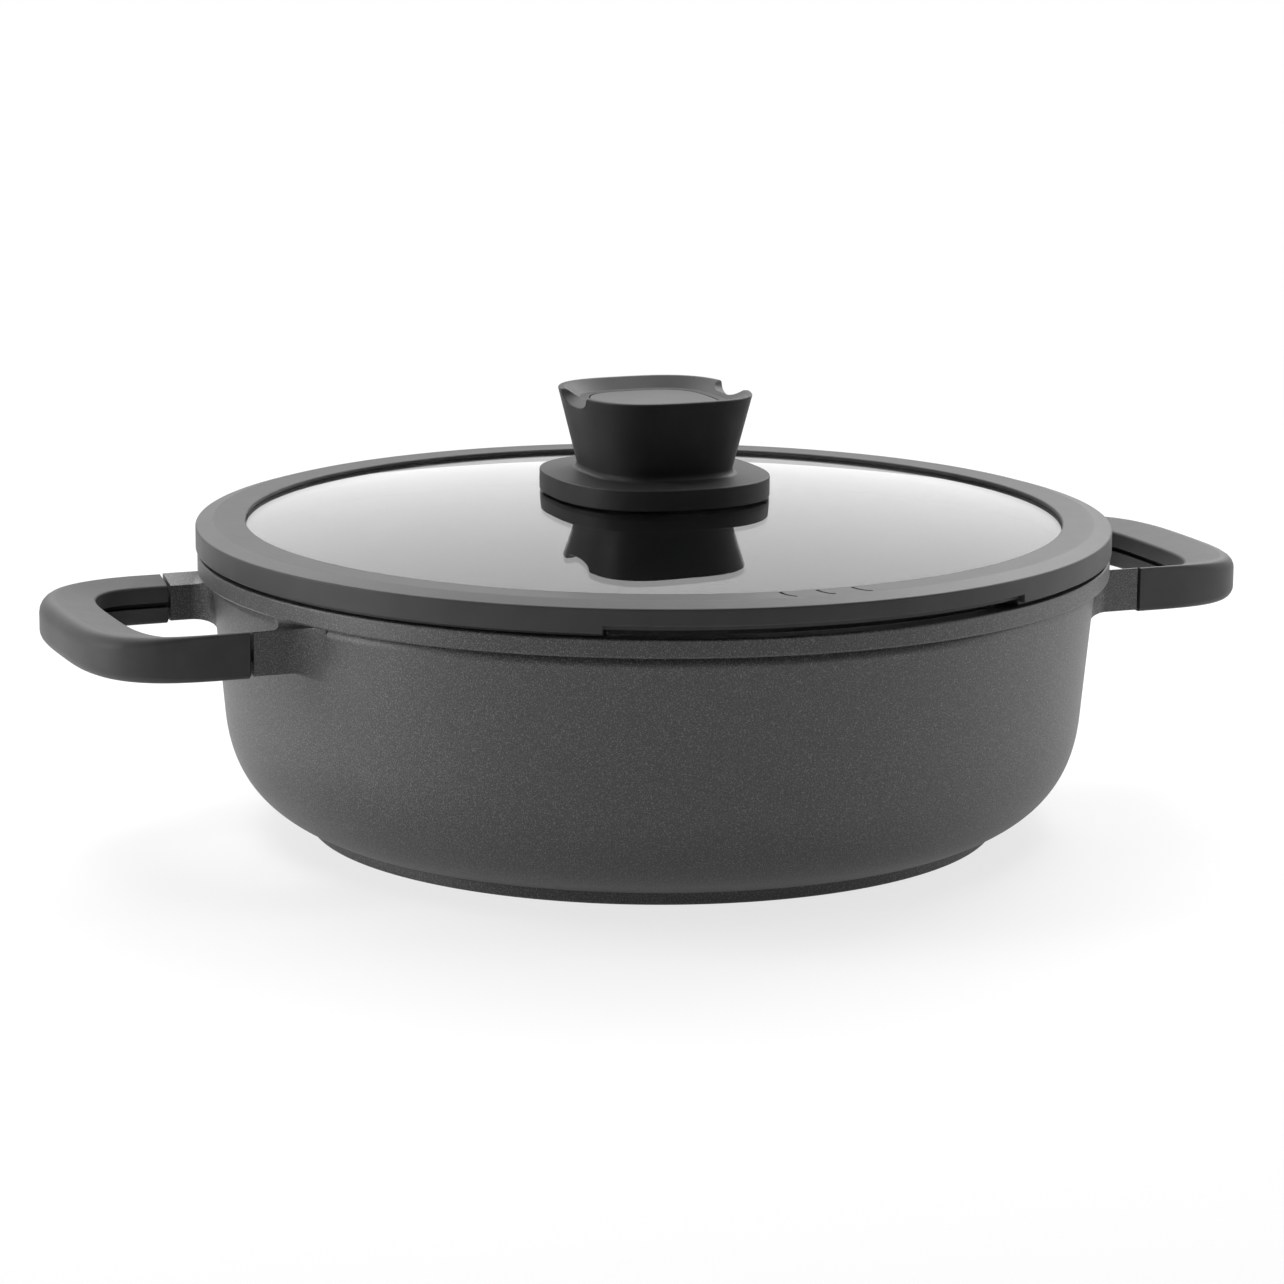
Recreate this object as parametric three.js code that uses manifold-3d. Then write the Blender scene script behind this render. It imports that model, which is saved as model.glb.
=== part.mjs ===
// Sauteuse pan with two loop handles and a glass strainer lid.
// Millimetres, +Z up. The origin lies on the hob under the middle of the base,
// the handles point along X and the lid pours towards -Y.

import * as THREE from 'three';
import { mergeVertices } from 'three/addons/utils/BufferGeometryUtils.js';
import Module from 'manifold-3d';

const wasm = await Module();
wasm.setup();

const degrees = THREE.MathUtils.degToRad;

// Clearance between two pieces that touch
const FIT = 0.3;

// Pan body, one aluminium casting
const PAN_HEIGHT = 87.5;
const BAND_RADIUS = 143;
const BAND_HEIGHT = 5.8;
const BAND_STEP = 4.1;
const BAND_EDGE = 0.5;
const GROOVE_HEIGHT = 2.6;
const GROOVE_DEPTH = 1.6;
const WALL = 3.2;
const WALL_DRAFT = degrees(5.2);
const FLOOR = 6.2;
const FLOOR_INSET = 10.5;
const BOWL_HEIGHT = 37;
const BOWL_SPREAD = degrees(66);
const BOWL_PULL = 14;
const BOWL_WALL_PULL = 17;
const INSIDE_PULL = 16;
const FOOT_INSET = 34.3;
const FOOT_HEIGHT = 4.8;
const FOOT_STEP = 4;
const FOOT_EDGE = 0.6;

// Steel disc set flush in the base for induction hobs
const DISC_INSET = 16.7;
const DISC_THICKNESS = 1.2;

// Loop handles: a steel strap in two cast lugs, under a slit grip
const HANDLE_LENGTH = 50.5;
const HANDLE_HALF_WIDTH = 48.3;
const HANDLE_HEIGHT = 13.7;
const HANDLE_DROP = 1.7;
const TOP_FALL = 2.6;
const ARM_WIDTH = 9;
const ARM_STRAIGHT = 6.2;
const BAR_WIDTH = 18;
const OUTER_SQUARENESS = 3.2;
const INNER_SQUARENESS = 3.5;
const GRIP_OVERHANG = 0.7;
const GRIP_END_GAP = 0.8;
const GRIP_OUTER_ROUND = 3;
const GRIP_INNER_ROUND = 1;
const GRIP_LIP = 1.4;
const SLIT_HEIGHT = 1.6;
const GRIP_WALL = 1.6;
const CORE_THICKNESS = 2.5;
const CORE_INSET = 13;
const LUG_STANDOFF = 3.2;
const LUG_FILLET = 11;
const LUG_PLAIN = 6;
const LUG_OUTER_FLARE = 8.2;
const LUG_FOOT_FLARE = 2.4;
const LUG_TOP_FLARE = 1.5;
const SCREW_RADIUS = 1.25;
const SCREW_HEAD_RADIUS = 2.4;
const SCREW_HEAD_HEIGHT = 2.5;
const SCREW_SOCKET_RADIUS = 1.2;
const SCREW_SOCKET_DEPTH = 1.3;
const SCREW_COVER = 0.7;
const SCREW_SETBACK = 7;

// Lid: domed glass in a silicone rim
const LID_OVERHANG = 0.5;
const RIM_WIDTH = 15.5;
const RIM_THICKNESS = 10;
const RIM_BEVEL_WIDTH = 5.5;
const RIM_BEVEL_DROP = 1.6;
const RIM_EDGE = 0.4;
const SKIRT_WIDTH = 2.4;
const SKIRT_LIFT = 1.1;
const PLUG_DEPTH = 3.6;
const PLUG_WIDTH = 3.4;
const PLUG_TAPER = 0.4;
const GLASS_THICKNESS = 4;
const GLASS_RISE = 9.2;
const GLASS_SEAT = 5;
const GLASS_HOLE_RADIUS = 5;
const LIP_STAND = 1.4;
const LOWER_LIP = 1.6;
const STRAINER_HALF_ANGLE = degrees(27.8);
const STRAINER_GAP = 1.6;
const STRAINER_RAISE = 2.3;

// Knob and the stack that clamps it to the glass
const KNOB_SQUARENESS = 3;
const KNOB_LENGTHENING = 1.06;
const FLANGE_HALF_WIDTH = 34.2;
const FLANGE_SQUARENESS = 2.5;
const FLANGE_RIM = 3;
const FLANGE_THICKNESS = 6.4;
const FLANGE_EDGE = 0.4;
const FLANGE_CROWN = 0.6;
const WAIST_HALF_WIDTH = 22;
const WAIST_FILLET = 2;
const KNOB_TOP_HALF_WIDTH = 27.9;
const KNOB_BODY_HEIGHT = 25.8;
const KNOB_RIM = 1.8;
const KNOB_RIM_EDGE = 0.6;
const DISH_DEPTH = 3.2;
const DISH_SLOPE = 4.6;
const CAP_BORDER = 2.9;
const CAP_THICKNESS = 1.6;
const CAP_EDGE = 0.3;
const NOTCH_HALF_WIDTH = 10;
const NOTCH_DEPTH = 5.1;
const NOTCH_LENGTH = 16;
const NOTCH_TILT = degrees(25);
const GASKET_THICKNESS = 0.8;
const GASKET_INSET = 1.2;
const GASKET_BORE = 12;
const INSERT_RADIUS = 5;
const INSERT_LENGTH = 16;
const KNOB_SCREW_RADIUS = 2.5;
const KNOB_SCREW_GRIP = 12;
const KNOB_SCREW_HEAD_RADIUS = 5;
const KNOB_SCREW_HEAD_HEIGHT = 3;
const WASHER_RADIUS = 11;
const WASHER_THICKNESS = 1.2;
const LOWER_GASKET_RADIUS = 13;
const LOWER_GASKET_THICKNESS = 1.2;

// Facets
const ROUND_STEPS = 56;
const SMALL_STEPS = 12;
const KNOB_STEPS = 36;
const CURVE_STEPS = 6;
const DOME_STEPS = 4;
const LOOP_STEPS = 18;
const FILLET_STEPS = 5;
const SOCKET_SIDES = 6;
const WELD = 1e-4;

// Heights and radii worked out from the sizes above
const BAND_BOTTOM = PAN_HEIGHT - BAND_HEIGHT;
const FOOT_RADIUS = BAND_RADIUS - FOOT_INSET;
const FLOOR_RADIUS = FOOT_RADIUS - FLOOR_INSET;
const DISC_RADIUS = FOOT_RADIUS - DISC_INSET;
const HANDLE_REACH = BAND_RADIUS + HANDLE_LENGTH;
const LUG_REACH = BAND_RADIUS + LUG_STANDOFF;
const GRIP_START = LUG_REACH + GRIP_END_GAP;
const HANDLE_TOP = BAND_BOTTOM - HANDLE_DROP;
const LUG_BOTTOM = HANDLE_TOP - HANDLE_HEIGHT;
const GRIP_BOTTOM = LUG_BOTTOM - GRIP_OVERHANG;
const ARM_INNER = HANDLE_HALF_WIDTH - ARM_WIDTH;
const SLIT_LEVEL = (GRIP_BOTTOM + HANDLE_TOP - TOP_FALL) / 2;
const CORE_WIDTH = ARM_WIDTH - GRIP_LIP - GRIP_WALL - 2 * FIT;
const CORE_MIDDLE = ARM_INNER + GRIP_LIP + FIT + CORE_WIDTH / 2;
const SCREW_LENGTH = HANDLE_TOP - TOP_FALL - SCREW_COVER - LUG_BOTTOM;
const LID_RADIUS = BAND_RADIUS + LID_OVERHANG;
const LIP_RADIUS = LID_RADIUS - RIM_WIDTH;
const LID_SEAT = PAN_HEIGHT + FIT;
const RIM_TOP = LID_SEAT + RIM_THICKNESS;
const GLASS_RADIUS = LIP_RADIUS + GLASS_SEAT;
const DOME_RADIUS = (LIP_RADIUS ** 2 + GLASS_RISE ** 2) / (2 * GLASS_RISE);
const GLASS_APEX = RIM_TOP - LIP_STAND + GLASS_RISE;
const glassTop = (radius) => GLASS_APEX - DOME_RADIUS + Math.sqrt(DOME_RADIUS ** 2 - radius ** 2);
const FLANGE_BOTTOM = glassTop(FLANGE_HALF_WIDTH - FLANGE_RIM) + FIT;
const RECESS_TOP = GLASS_APEX + GASKET_THICKNESS + 2 * FIT;
const FLANGE_TOP = FLANGE_BOTTOM + FLANGE_THICKNESS;
const KNOB_TOP = FLANGE_TOP + KNOB_BODY_HEIGHT;
const DISH_FLOOR = KNOB_TOP - DISH_DEPTH;
const DISH_FLOOR_HALF_WIDTH = KNOB_TOP_HALF_WIDTH - KNOB_RIM - DISH_SLOPE;
const CAP_HALF_WIDTH = DISH_FLOOR_HALF_WIDTH - CAP_BORDER;

const wallRadius = (z) => BAND_RADIUS - BAND_STEP - (BAND_BOTTOM - z) * Math.tan(WALL_DRAFT);
const insideRadius = (z) => wallRadius(z) - WALL / Math.cos(WALL_DRAFT);
const alongWall = (pull) => [pull * Math.sin(WALL_DRAFT), pull * Math.cos(WALL_DRAFT)];

const FINISH = {
  castAluminium: { color: 0x4a4b4d, roughness: 0.5, metalness: 0.3 },
  grip: { color: 0x343536, roughness: 0.6, metalness: 0 },
  silicone: { color: 0x5c5d5e, roughness: 0.65, metalness: 0 },
  knob: { color: 0x2e2f30, roughness: 0.6, metalness: 0 },
  cap: { color: 0x5a5b5c, roughness: 0.5, metalness: 0 },
  glass: { color: 0xaab0b2, roughness: 0.05, metalness: 0, transparent: true, opacity: 0.5 },
  steel: { color: 0xa9abad, roughness: 0.35, metalness: 1 },
  darkSteel: { color: 0x1e1f20, roughness: 0.5, metalness: 1 },
  brass: { color: 0xb08d4a, roughness: 0.4, metalness: 1 },
};

const model = new THREE.Group();

// Closed triangle mesh with shared corners merged and empty triangles dropped
function welded(geometry) {
  const bare = geometry.clone();
  bare.deleteAttribute('normal');
  bare.deleteAttribute('uv');
  const merged = mergeVertices(bare, WELD);
  const corners = merged.index.array;
  const kept = [];
  for (let i = 0; i < corners.length; i += 3) {
    const [a, b, c] = [corners[i], corners[i + 1], corners[i + 2]];
    if (a !== b && b !== c && c !== a) kept.push(a, b, c);
  }
  merged.setIndex(kept);
  return merged;
}

function solid(geometry) {
  const closed = welded(geometry);
  return new wasm.Manifold(new wasm.Mesh({
    numProp: 3,
    vertProperties: new Float32Array(closed.attributes.position.array),
    triVerts: new Uint32Array(closed.index.array),
  }));
}

function geometryOf(manifold) {
  const mesh = manifold.getMesh();
  const geometry = new THREE.BufferGeometry();
  geometry.setAttribute('position', new THREE.BufferAttribute(mesh.vertProperties, 3));
  geometry.setIndex(new THREE.BufferAttribute(mesh.triVerts, 1));
  return geometry;
}

function addPiece(group, name, geometry, finish) {
  const mesh = new THREE.Mesh(welded(geometry), new THREE.MeshStandardMaterial(finish));
  mesh.name = name;
  group.add(mesh);
}

// Solid of revolution about Z from [radius, height] points, outer side running upwards
function turned(profile, steps) {
  const points = profile.map(([radius, height]) => new THREE.Vector2(radius, height));
  return new THREE.LatheGeometry(points, steps).rotateX(Math.PI / 2);
}

// Skin through rings of points that all turn the same way, closed by the two given end faces
function lofted(rings, endTriangles) {
  const count = rings[0].length;
  const corners = [];
  for (let ring = 0; ring + 1 < rings.length; ring += 1) {
    for (let i = 0; i < count; i += 1) {
      const here = ring * count + i;
      const next = ring * count + ((i + 1) % count);
      corners.push(here, next, next + count, here, next + count, here + count);
    }
  }
  const last = (rings.length - 1) * count;
  for (const [a, b, c] of endTriangles) {
    corners.push(a, c, b, last + a, last + b, last + c);
  }
  const geometry = new THREE.BufferGeometry();
  geometry.setFromPoints(rings.flat());
  geometry.setIndex(corners);
  return geometry;
}

function triangulated(outline) {
  const points = outline.map(([across, height]) => new THREE.Vector2(across, height));
  return THREE.ShapeUtils.triangulateShape(points, []);
}

function upright(radius, bottom, top, steps) {
  const cylinder = new THREE.CylinderGeometry(radius, radius, top - bottom, steps);
  return cylinder.rotateX(Math.PI / 2).translate(0, 0, (bottom + top) / 2);
}

function block(low, high) {
  const size = high.map((value, axis) => value - low[axis]);
  const middle = high.map((value, axis) => (value + low[axis]) / 2);
  return new THREE.BoxGeometry(...size).translate(...middle);
}

function washer(inner, outer, bottom, top, steps) {
  return turned([[inner, bottom], [outer, bottom], [outer, top], [inner, top], [inner, bottom]], steps);
}

// Points of a curve from a start to an end, each leaving along its own direction
function eased(start, startPull, end, endPull) {
  const point = ([radius, height]) => new THREE.Vector2(radius, height);
  const from = point(start);
  const to = point(end);
  const curve = new THREE.CubicBezierCurve(
    from, from.clone().add(point(startPull)), to.clone().sub(point(endPull)), to);
  return curve.getPoints(CURVE_STEPS).map(({ x, y }) => [x, y]);
}

// Casting: bowl, foot and rim band
function bowlOutside() {
  const bowlFoot = FOOT_RADIUS + FOOT_STEP;
  const leave = [BOWL_PULL * Math.sin(BOWL_SPREAD), BOWL_PULL * Math.cos(BOWL_SPREAD)];
  const bend = [wallRadius(BOWL_HEIGHT), BOWL_HEIGHT];
  const pocket = [DISC_RADIUS + FIT, DISC_THICKNESS + FIT];
  return turned([
    [0, pocket[1]],
    pocket,
    [pocket[0], 0],
    [FOOT_RADIUS - FOOT_EDGE, 0],
    [FOOT_RADIUS, FOOT_EDGE],
    [FOOT_RADIUS, FOOT_HEIGHT],
    ...eased([bowlFoot, FOOT_HEIGHT], leave, bend, alongWall(BOWL_WALL_PULL)),
    [wallRadius(BAND_BOTTOM - GROOVE_HEIGHT), BAND_BOTTOM - GROOVE_HEIGHT],
    [wallRadius(BAND_BOTTOM) - GROOVE_DEPTH, BAND_BOTTOM],
    [BAND_RADIUS - BAND_EDGE, BAND_BOTTOM],
    [BAND_RADIUS, BAND_BOTTOM + BAND_EDGE],
    [BAND_RADIUS, PAN_HEIGHT - BAND_EDGE],
    [BAND_RADIUS - BAND_EDGE, PAN_HEIGHT],
    [0, PAN_HEIGHT],
  ], ROUND_STEPS);
}

function bowlInside() {
  const bend = [insideRadius(BOWL_HEIGHT), BOWL_HEIGHT];
  const above = PAN_HEIGHT + WALL;
  return turned([
    [0, FLOOR],
    ...eased([FLOOR_RADIUS, FLOOR], [INSIDE_PULL, 0], bend, alongWall(INSIDE_PULL)),
    [insideRadius(above), above],
    [0, above],
  ], ROUND_STEPS);
}

// One lug at +X: a bar that flares into the wall with fillets.
// Its root stands inside the bowl until the bowl is cut out.
function lug(side) {
  const filletStart = LUG_REACH - LUG_PLAIN;
  const slice = (reach) => {
    const into = Math.min(Math.max(filletStart - reach, 0), LUG_FILLET);
    const flare = LUG_FILLET - Math.sqrt(LUG_FILLET ** 2 - into ** 2);
    const share = flare / LUG_FILLET;
    const inner = ARM_INNER - flare;
    const outer = HANDLE_HALF_WIDTH + share * LUG_OUTER_FLARE;
    const bottom = LUG_BOTTOM - share * LUG_FOOT_FLARE;
    const top = HANDLE_TOP + share * LUG_TOP_FLARE;
    return [
      [inner, bottom],
      [outer - GRIP_INNER_ROUND, bottom],
      [outer, bottom + GRIP_INNER_ROUND],
      [outer, top - GRIP_INNER_ROUND],
      [outer - GRIP_INNER_ROUND, top],
      [inner, top - TOP_FALL * (1 - share)],
    ];
  };
  const fillet = [];
  for (let step = 1; step <= FILLET_STEPS; step += 1) {
    const turn = ((step / FILLET_STEPS) * Math.PI) / 2;
    fillet.push(filletStart - LUG_FILLET * Math.sin(turn));
  }
  const insideBowl = Math.sqrt(insideRadius(LUG_BOTTOM) ** 2 - (HANDLE_HALF_WIDTH + LUG_OUTER_FLARE) ** 2);
  const reaches = [LUG_REACH, filletStart, ...fillet, insideBowl - WALL];
  const rings = reaches.map((reach) => {
    const ring = slice(reach).map(([across, height]) => new THREE.Vector3(reach, side * across, height));
    return side > 0 ? ring.reverse() : ring;
  });
  const outline = rings[0].map(({ y, z }) => [-y, z]);
  return solid(lofted(rings, triangulated(outline)));
}

// Room in a lug for the strap end and its screw
function lugPocket(side) {
  const across = [CORE_MIDDLE - CORE_WIDTH / 2 - FIT, CORE_MIDDLE + CORE_WIDTH / 2 + FIT];
  const rise = CORE_THICKNESS / 2 + FIT;
  const screwReach = LUG_REACH - SCREW_SETBACK;
  const shank = upright(SCREW_RADIUS + FIT, LUG_BOTTOM, LUG_BOTTOM + SCREW_LENGTH + FIT, SMALL_STEPS);
  const head = upright(
    SCREW_HEAD_RADIUS + FIT,
    LUG_BOTTOM - LUG_FOOT_FLARE - FIT,
    LUG_BOTTOM + SCREW_HEAD_HEIGHT + FIT,
    SMALL_STEPS,
  );
  const strap = block(
    [LUG_REACH - CORE_INSET - FIT, Math.min(...across.map((y) => side * y)), SLIT_LEVEL - rise],
    [GRIP_START, Math.max(...across.map((y) => side * y)), SLIT_LEVEL + rise],
  );
  return solid(strap)
    .add(solid(shank.translate(screwReach, side * CORE_MIDDLE, 0)))
    .add(solid(head.translate(screwReach, side * CORE_MIDDLE, 0)));
}

function panBody() {
  const lugs = [];
  const pockets = [];
  for (const side of [1, -1]) {
    for (const turn of [0, 180]) {
      lugs.push(lug(side).rotate([0, 0, turn]));
      pockets.push(lugPocket(side).rotate([0, 0, turn]));
    }
  }
  let body = solid(bowlOutside());
  for (const piece of lugs) body = body.add(piece);
  body = body.subtract(solid(bowlInside()));
  for (const pocket of pockets) body = body.subtract(pocket);
  return geometryOf(body);
}

// Outer and inner outline of a handle loop, by the same angle from the arm to the arm
function loopPoint(angle, start, halfWidth, depth, squareness) {
  const power = 2 / squareness;
  return new THREE.Vector2(
    start + depth * Math.abs(Math.cos(angle)) ** power,
    halfWidth * Math.sign(Math.sin(angle)) * Math.abs(Math.sin(angle)) ** power,
  );
}

function loopStations() {
  const loopStart = GRIP_START + ARM_STRAIGHT;
  const innerReach = HANDLE_REACH - BAR_WIDTH;
  const stations = [];
  for (let step = 0; step <= LOOP_STEPS; step += 1) {
    const angle = Math.PI * (0.5 - step / LOOP_STEPS);
    stations.push({
      outer: loopPoint(angle, loopStart, HANDLE_HALF_WIDTH, HANDLE_REACH - loopStart, OUTER_SQUARENESS),
      inner: loopPoint(angle, loopStart, ARM_INNER, innerReach - loopStart, INNER_SQUARENESS),
    });
  }
  const armEnd = (side, reach) => ({
    outer: new THREE.Vector2(reach, side * HANDLE_HALF_WIDTH),
    inner: new THREE.Vector2(reach, side * ARM_INNER),
  });
  return { stations, armEnd };
}

// Section points [distance from the inner edge, height], set out along the loop
function sweptAlongLoop(stations, section) {
  const outlines = stations.map(({ outer, inner }) => section(outer.distanceTo(inner)));
  const rings = stations.map(({ outer, inner }, index) => {
    const outward = outer.clone().sub(inner).normalize();
    return outlines[index].map(([across, height]) => {
      const place = inner.clone().addScaledVector(outward, across);
      return new THREE.Vector3(place.x, place.y, height);
    });
  });
  return lofted(rings, triangulated(outlines[0]));
}

function gripSection(width) {
  const slit = SLIT_HEIGHT / 2;
  const room = CORE_THICKNESS / 2 + FIT;
  const roomEnd = GRIP_LIP + CORE_WIDTH + 2 * FIT;
  const innerTop = HANDLE_TOP - TOP_FALL;
  const corner = GRIP_OUTER_ROUND * (1 - Math.SQRT1_2);
  return [
    [GRIP_INNER_ROUND, GRIP_BOTTOM],
    [width - GRIP_OUTER_ROUND, GRIP_BOTTOM],
    [width - corner, GRIP_BOTTOM + corner],
    [width, GRIP_BOTTOM + GRIP_OUTER_ROUND],
    [width, HANDLE_TOP - GRIP_INNER_ROUND],
    [width - GRIP_INNER_ROUND, HANDLE_TOP],
    [GRIP_INNER_ROUND, innerTop],
    [0, innerTop - GRIP_INNER_ROUND],
    [0, SLIT_LEVEL + slit],
    [GRIP_LIP, SLIT_LEVEL + slit],
    [GRIP_LIP, SLIT_LEVEL + room],
    [roomEnd, SLIT_LEVEL + room],
    [roomEnd, SLIT_LEVEL - room],
    [GRIP_LIP, SLIT_LEVEL - room],
    [GRIP_LIP, SLIT_LEVEL - slit],
    [0, SLIT_LEVEL - slit],
    [0, GRIP_BOTTOM + GRIP_INNER_ROUND],
  ];
}

function coreSection() {
  const near = GRIP_LIP + FIT;
  const far = near + CORE_WIDTH;
  const rise = CORE_THICKNESS / 2;
  return [
    [near, SLIT_LEVEL - rise],
    [far, SLIT_LEVEL - rise],
    [far, SLIT_LEVEL + rise],
    [near, SLIT_LEVEL + rise],
  ];
}

function handleGrip() {
  const { stations, armEnd } = loopStations();
  return sweptAlongLoop([armEnd(1, GRIP_START), ...stations, armEnd(-1, GRIP_START)], gripSection);
}

function handleCore() {
  const { stations, armEnd } = loopStations();
  const root = LUG_REACH - CORE_INSET;
  let strap = solid(sweptAlongLoop([armEnd(1, root), ...stations, armEnd(-1, root)], coreSection));
  for (const side of [1, -1]) {
    const hole = upright(SCREW_RADIUS + FIT, LUG_BOTTOM, HANDLE_TOP, SMALL_STEPS);
    strap = strap.subtract(solid(hole.translate(LUG_REACH - SCREW_SETBACK, side * CORE_MIDDLE, 0)));
  }
  return geometryOf(strap);
}

// Socket-head screw standing on its head at the origin
function socketScrew(radius, headRadius, headHeight, length, socketRadius, socketDepth) {
  const body = turned([
    [0, 0],
    [headRadius, 0],
    [headRadius, headHeight],
    [radius, headHeight],
    [radius, length],
    [0, length],
  ], SMALL_STEPS);
  const socket = upright(socketRadius, -socketDepth, socketDepth, SOCKET_SIDES);
  return geometryOf(solid(body).subtract(solid(socket)));
}

function addHandle(side, turn) {
  const handle = new THREE.Group();
  handle.rotation.z = turn;
  addPiece(handle, `${side}_grip`, handleGrip(), FINISH.grip);
  addPiece(handle, `${side}_core`, handleCore(), FINISH.darkSteel);
  const screw = socketScrew(SCREW_RADIUS, SCREW_HEAD_RADIUS, SCREW_HEAD_HEIGHT, SCREW_LENGTH,
    SCREW_SOCKET_RADIUS, SCREW_SOCKET_DEPTH);
  const places = side === 'right' ? { rear: 1, front: -1 } : { rear: -1, front: 1 };
  for (const [place, across] of Object.entries(places)) {
    const placed = screw.clone().translate(LUG_REACH - SCREW_SETBACK, across * CORE_MIDDLE, LUG_BOTTOM);
    addPiece(handle, `${side}_${place}_screw`, placed, FINISH.steel);
  }
  model.add(handle);
}

// Silicone rim: grips the glass edge, sits on the pan rim and plugs into it
function lidRim() {
  const plugOuter = insideRadius(LID_SEAT - PLUG_DEPTH) - FIT;
  const plugInner = plugOuter - PLUG_WIDTH;
  const skirtInner = LID_RADIUS - SKIRT_WIDTH;
  const groove = GLASS_RADIUS + FIT;
  const lowerLip = glassTop(LIP_RADIUS) - GLASS_THICKNESS - FIT;
  const ring = turned([
    [plugInner, LID_SEAT - PLUG_DEPTH + PLUG_TAPER],
    [plugOuter - PLUG_TAPER, LID_SEAT - PLUG_DEPTH],
    [plugOuter, LID_SEAT],
    [skirtInner, LID_SEAT],
    [skirtInner, LID_SEAT + SKIRT_LIFT],
    [LID_RADIUS - RIM_EDGE, LID_SEAT + SKIRT_LIFT],
    [LID_RADIUS, LID_SEAT + SKIRT_LIFT + RIM_EDGE],
    [LID_RADIUS, RIM_TOP - RIM_BEVEL_DROP - RIM_EDGE],
    [LID_RADIUS - RIM_EDGE, RIM_TOP - RIM_BEVEL_DROP],
    [LID_RADIUS - RIM_BEVEL_WIDTH, RIM_TOP],
    [LIP_RADIUS + RIM_EDGE, RIM_TOP],
    [LIP_RADIUS, RIM_TOP - RIM_EDGE],
    [LIP_RADIUS, glassTop(LIP_RADIUS) + FIT],
    [groove, glassTop(groove) + FIT],
    [groove, glassTop(groove) - GLASS_THICKNESS - FIT],
    [LIP_RADIUS, lowerLip],
    [LIP_RADIUS, lowerLip - LOWER_LIP],
    [plugInner, LID_SEAT - PLUG_DEPTH + PLUG_TAPER],
  ], ROUND_STEPS);
  const slot = strainerGap(LIP_RADIUS - FIT, LID_SEAT - PLUG_DEPTH - FIT, LID_SEAT + STRAINER_GAP);
  const raised = strainerGap(skirtInner, LID_SEAT, LID_SEAT + SKIRT_LIFT + STRAINER_RAISE);
  return geometryOf(solid(ring).subtract(slot).subtract(raised));
}

// Gap over the pan rim along the stretch where the pan pours
function strainerGap(inner, bottom, top) {
  const from = -Math.PI / 2 - STRAINER_HALF_ANGLE;
  const to = -Math.PI / 2 + STRAINER_HALF_ANGLE;
  const sector = new THREE.Shape();
  sector.absarc(0, 0, LID_RADIUS + SKIRT_WIDTH, from, to, false);
  sector.absarc(0, 0, inner, to, from, true);
  sector.closePath();
  const gap = new THREE.ExtrudeGeometry(sector, {
    depth: top - bottom,
    bevelEnabled: false,
    curveSegments: CURVE_STEPS,
  });
  return solid(gap.translate(0, 0, bottom));
}

function lidGlass() {
  const radii = [];
  for (let step = 0; step <= DOME_STEPS; step += 1) {
    radii.push(GLASS_HOLE_RADIUS + (GLASS_RADIUS - GLASS_HOLE_RADIUS) * (step / DOME_STEPS));
  }
  const lower = radii.map((radius) => [radius, glassTop(radius) - GLASS_THICKNESS]);
  const upper = radii.map((radius) => [radius, glassTop(radius)]).reverse();
  return turned([...lower, ...upper, lower[0]], ROUND_STEPS);
}

function roundedSquare(half, squareness) {
  const power = 2 / squareness;
  const outline = [];
  for (let step = 0; step < KNOB_STEPS; step += 1) {
    const angle = (2 * Math.PI * step) / KNOB_STEPS;
    const [along, across] = [Math.cos(angle), Math.sin(angle)];
    outline.push([
      half * Math.sign(along) * Math.abs(along) ** power,
      half * Math.sign(across) * Math.abs(across) ** power * KNOB_LENGTHENING,
    ]);
  }
  return outline;
}

// Stack of rounded-square rings [height, half width, squareness], closed by a flat face at each end
function roundedSquareStack(levels) {
  const outlines = levels.map(([, half, squareness = KNOB_SQUARENESS]) => roundedSquare(half, squareness));
  const rings = outlines.map((outline, level) => (
    outline.map(([x, y]) => new THREE.Vector3(x, y, levels[level][0]))));
  return lofted(rings, triangulated(outlines[0]));
}

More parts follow.
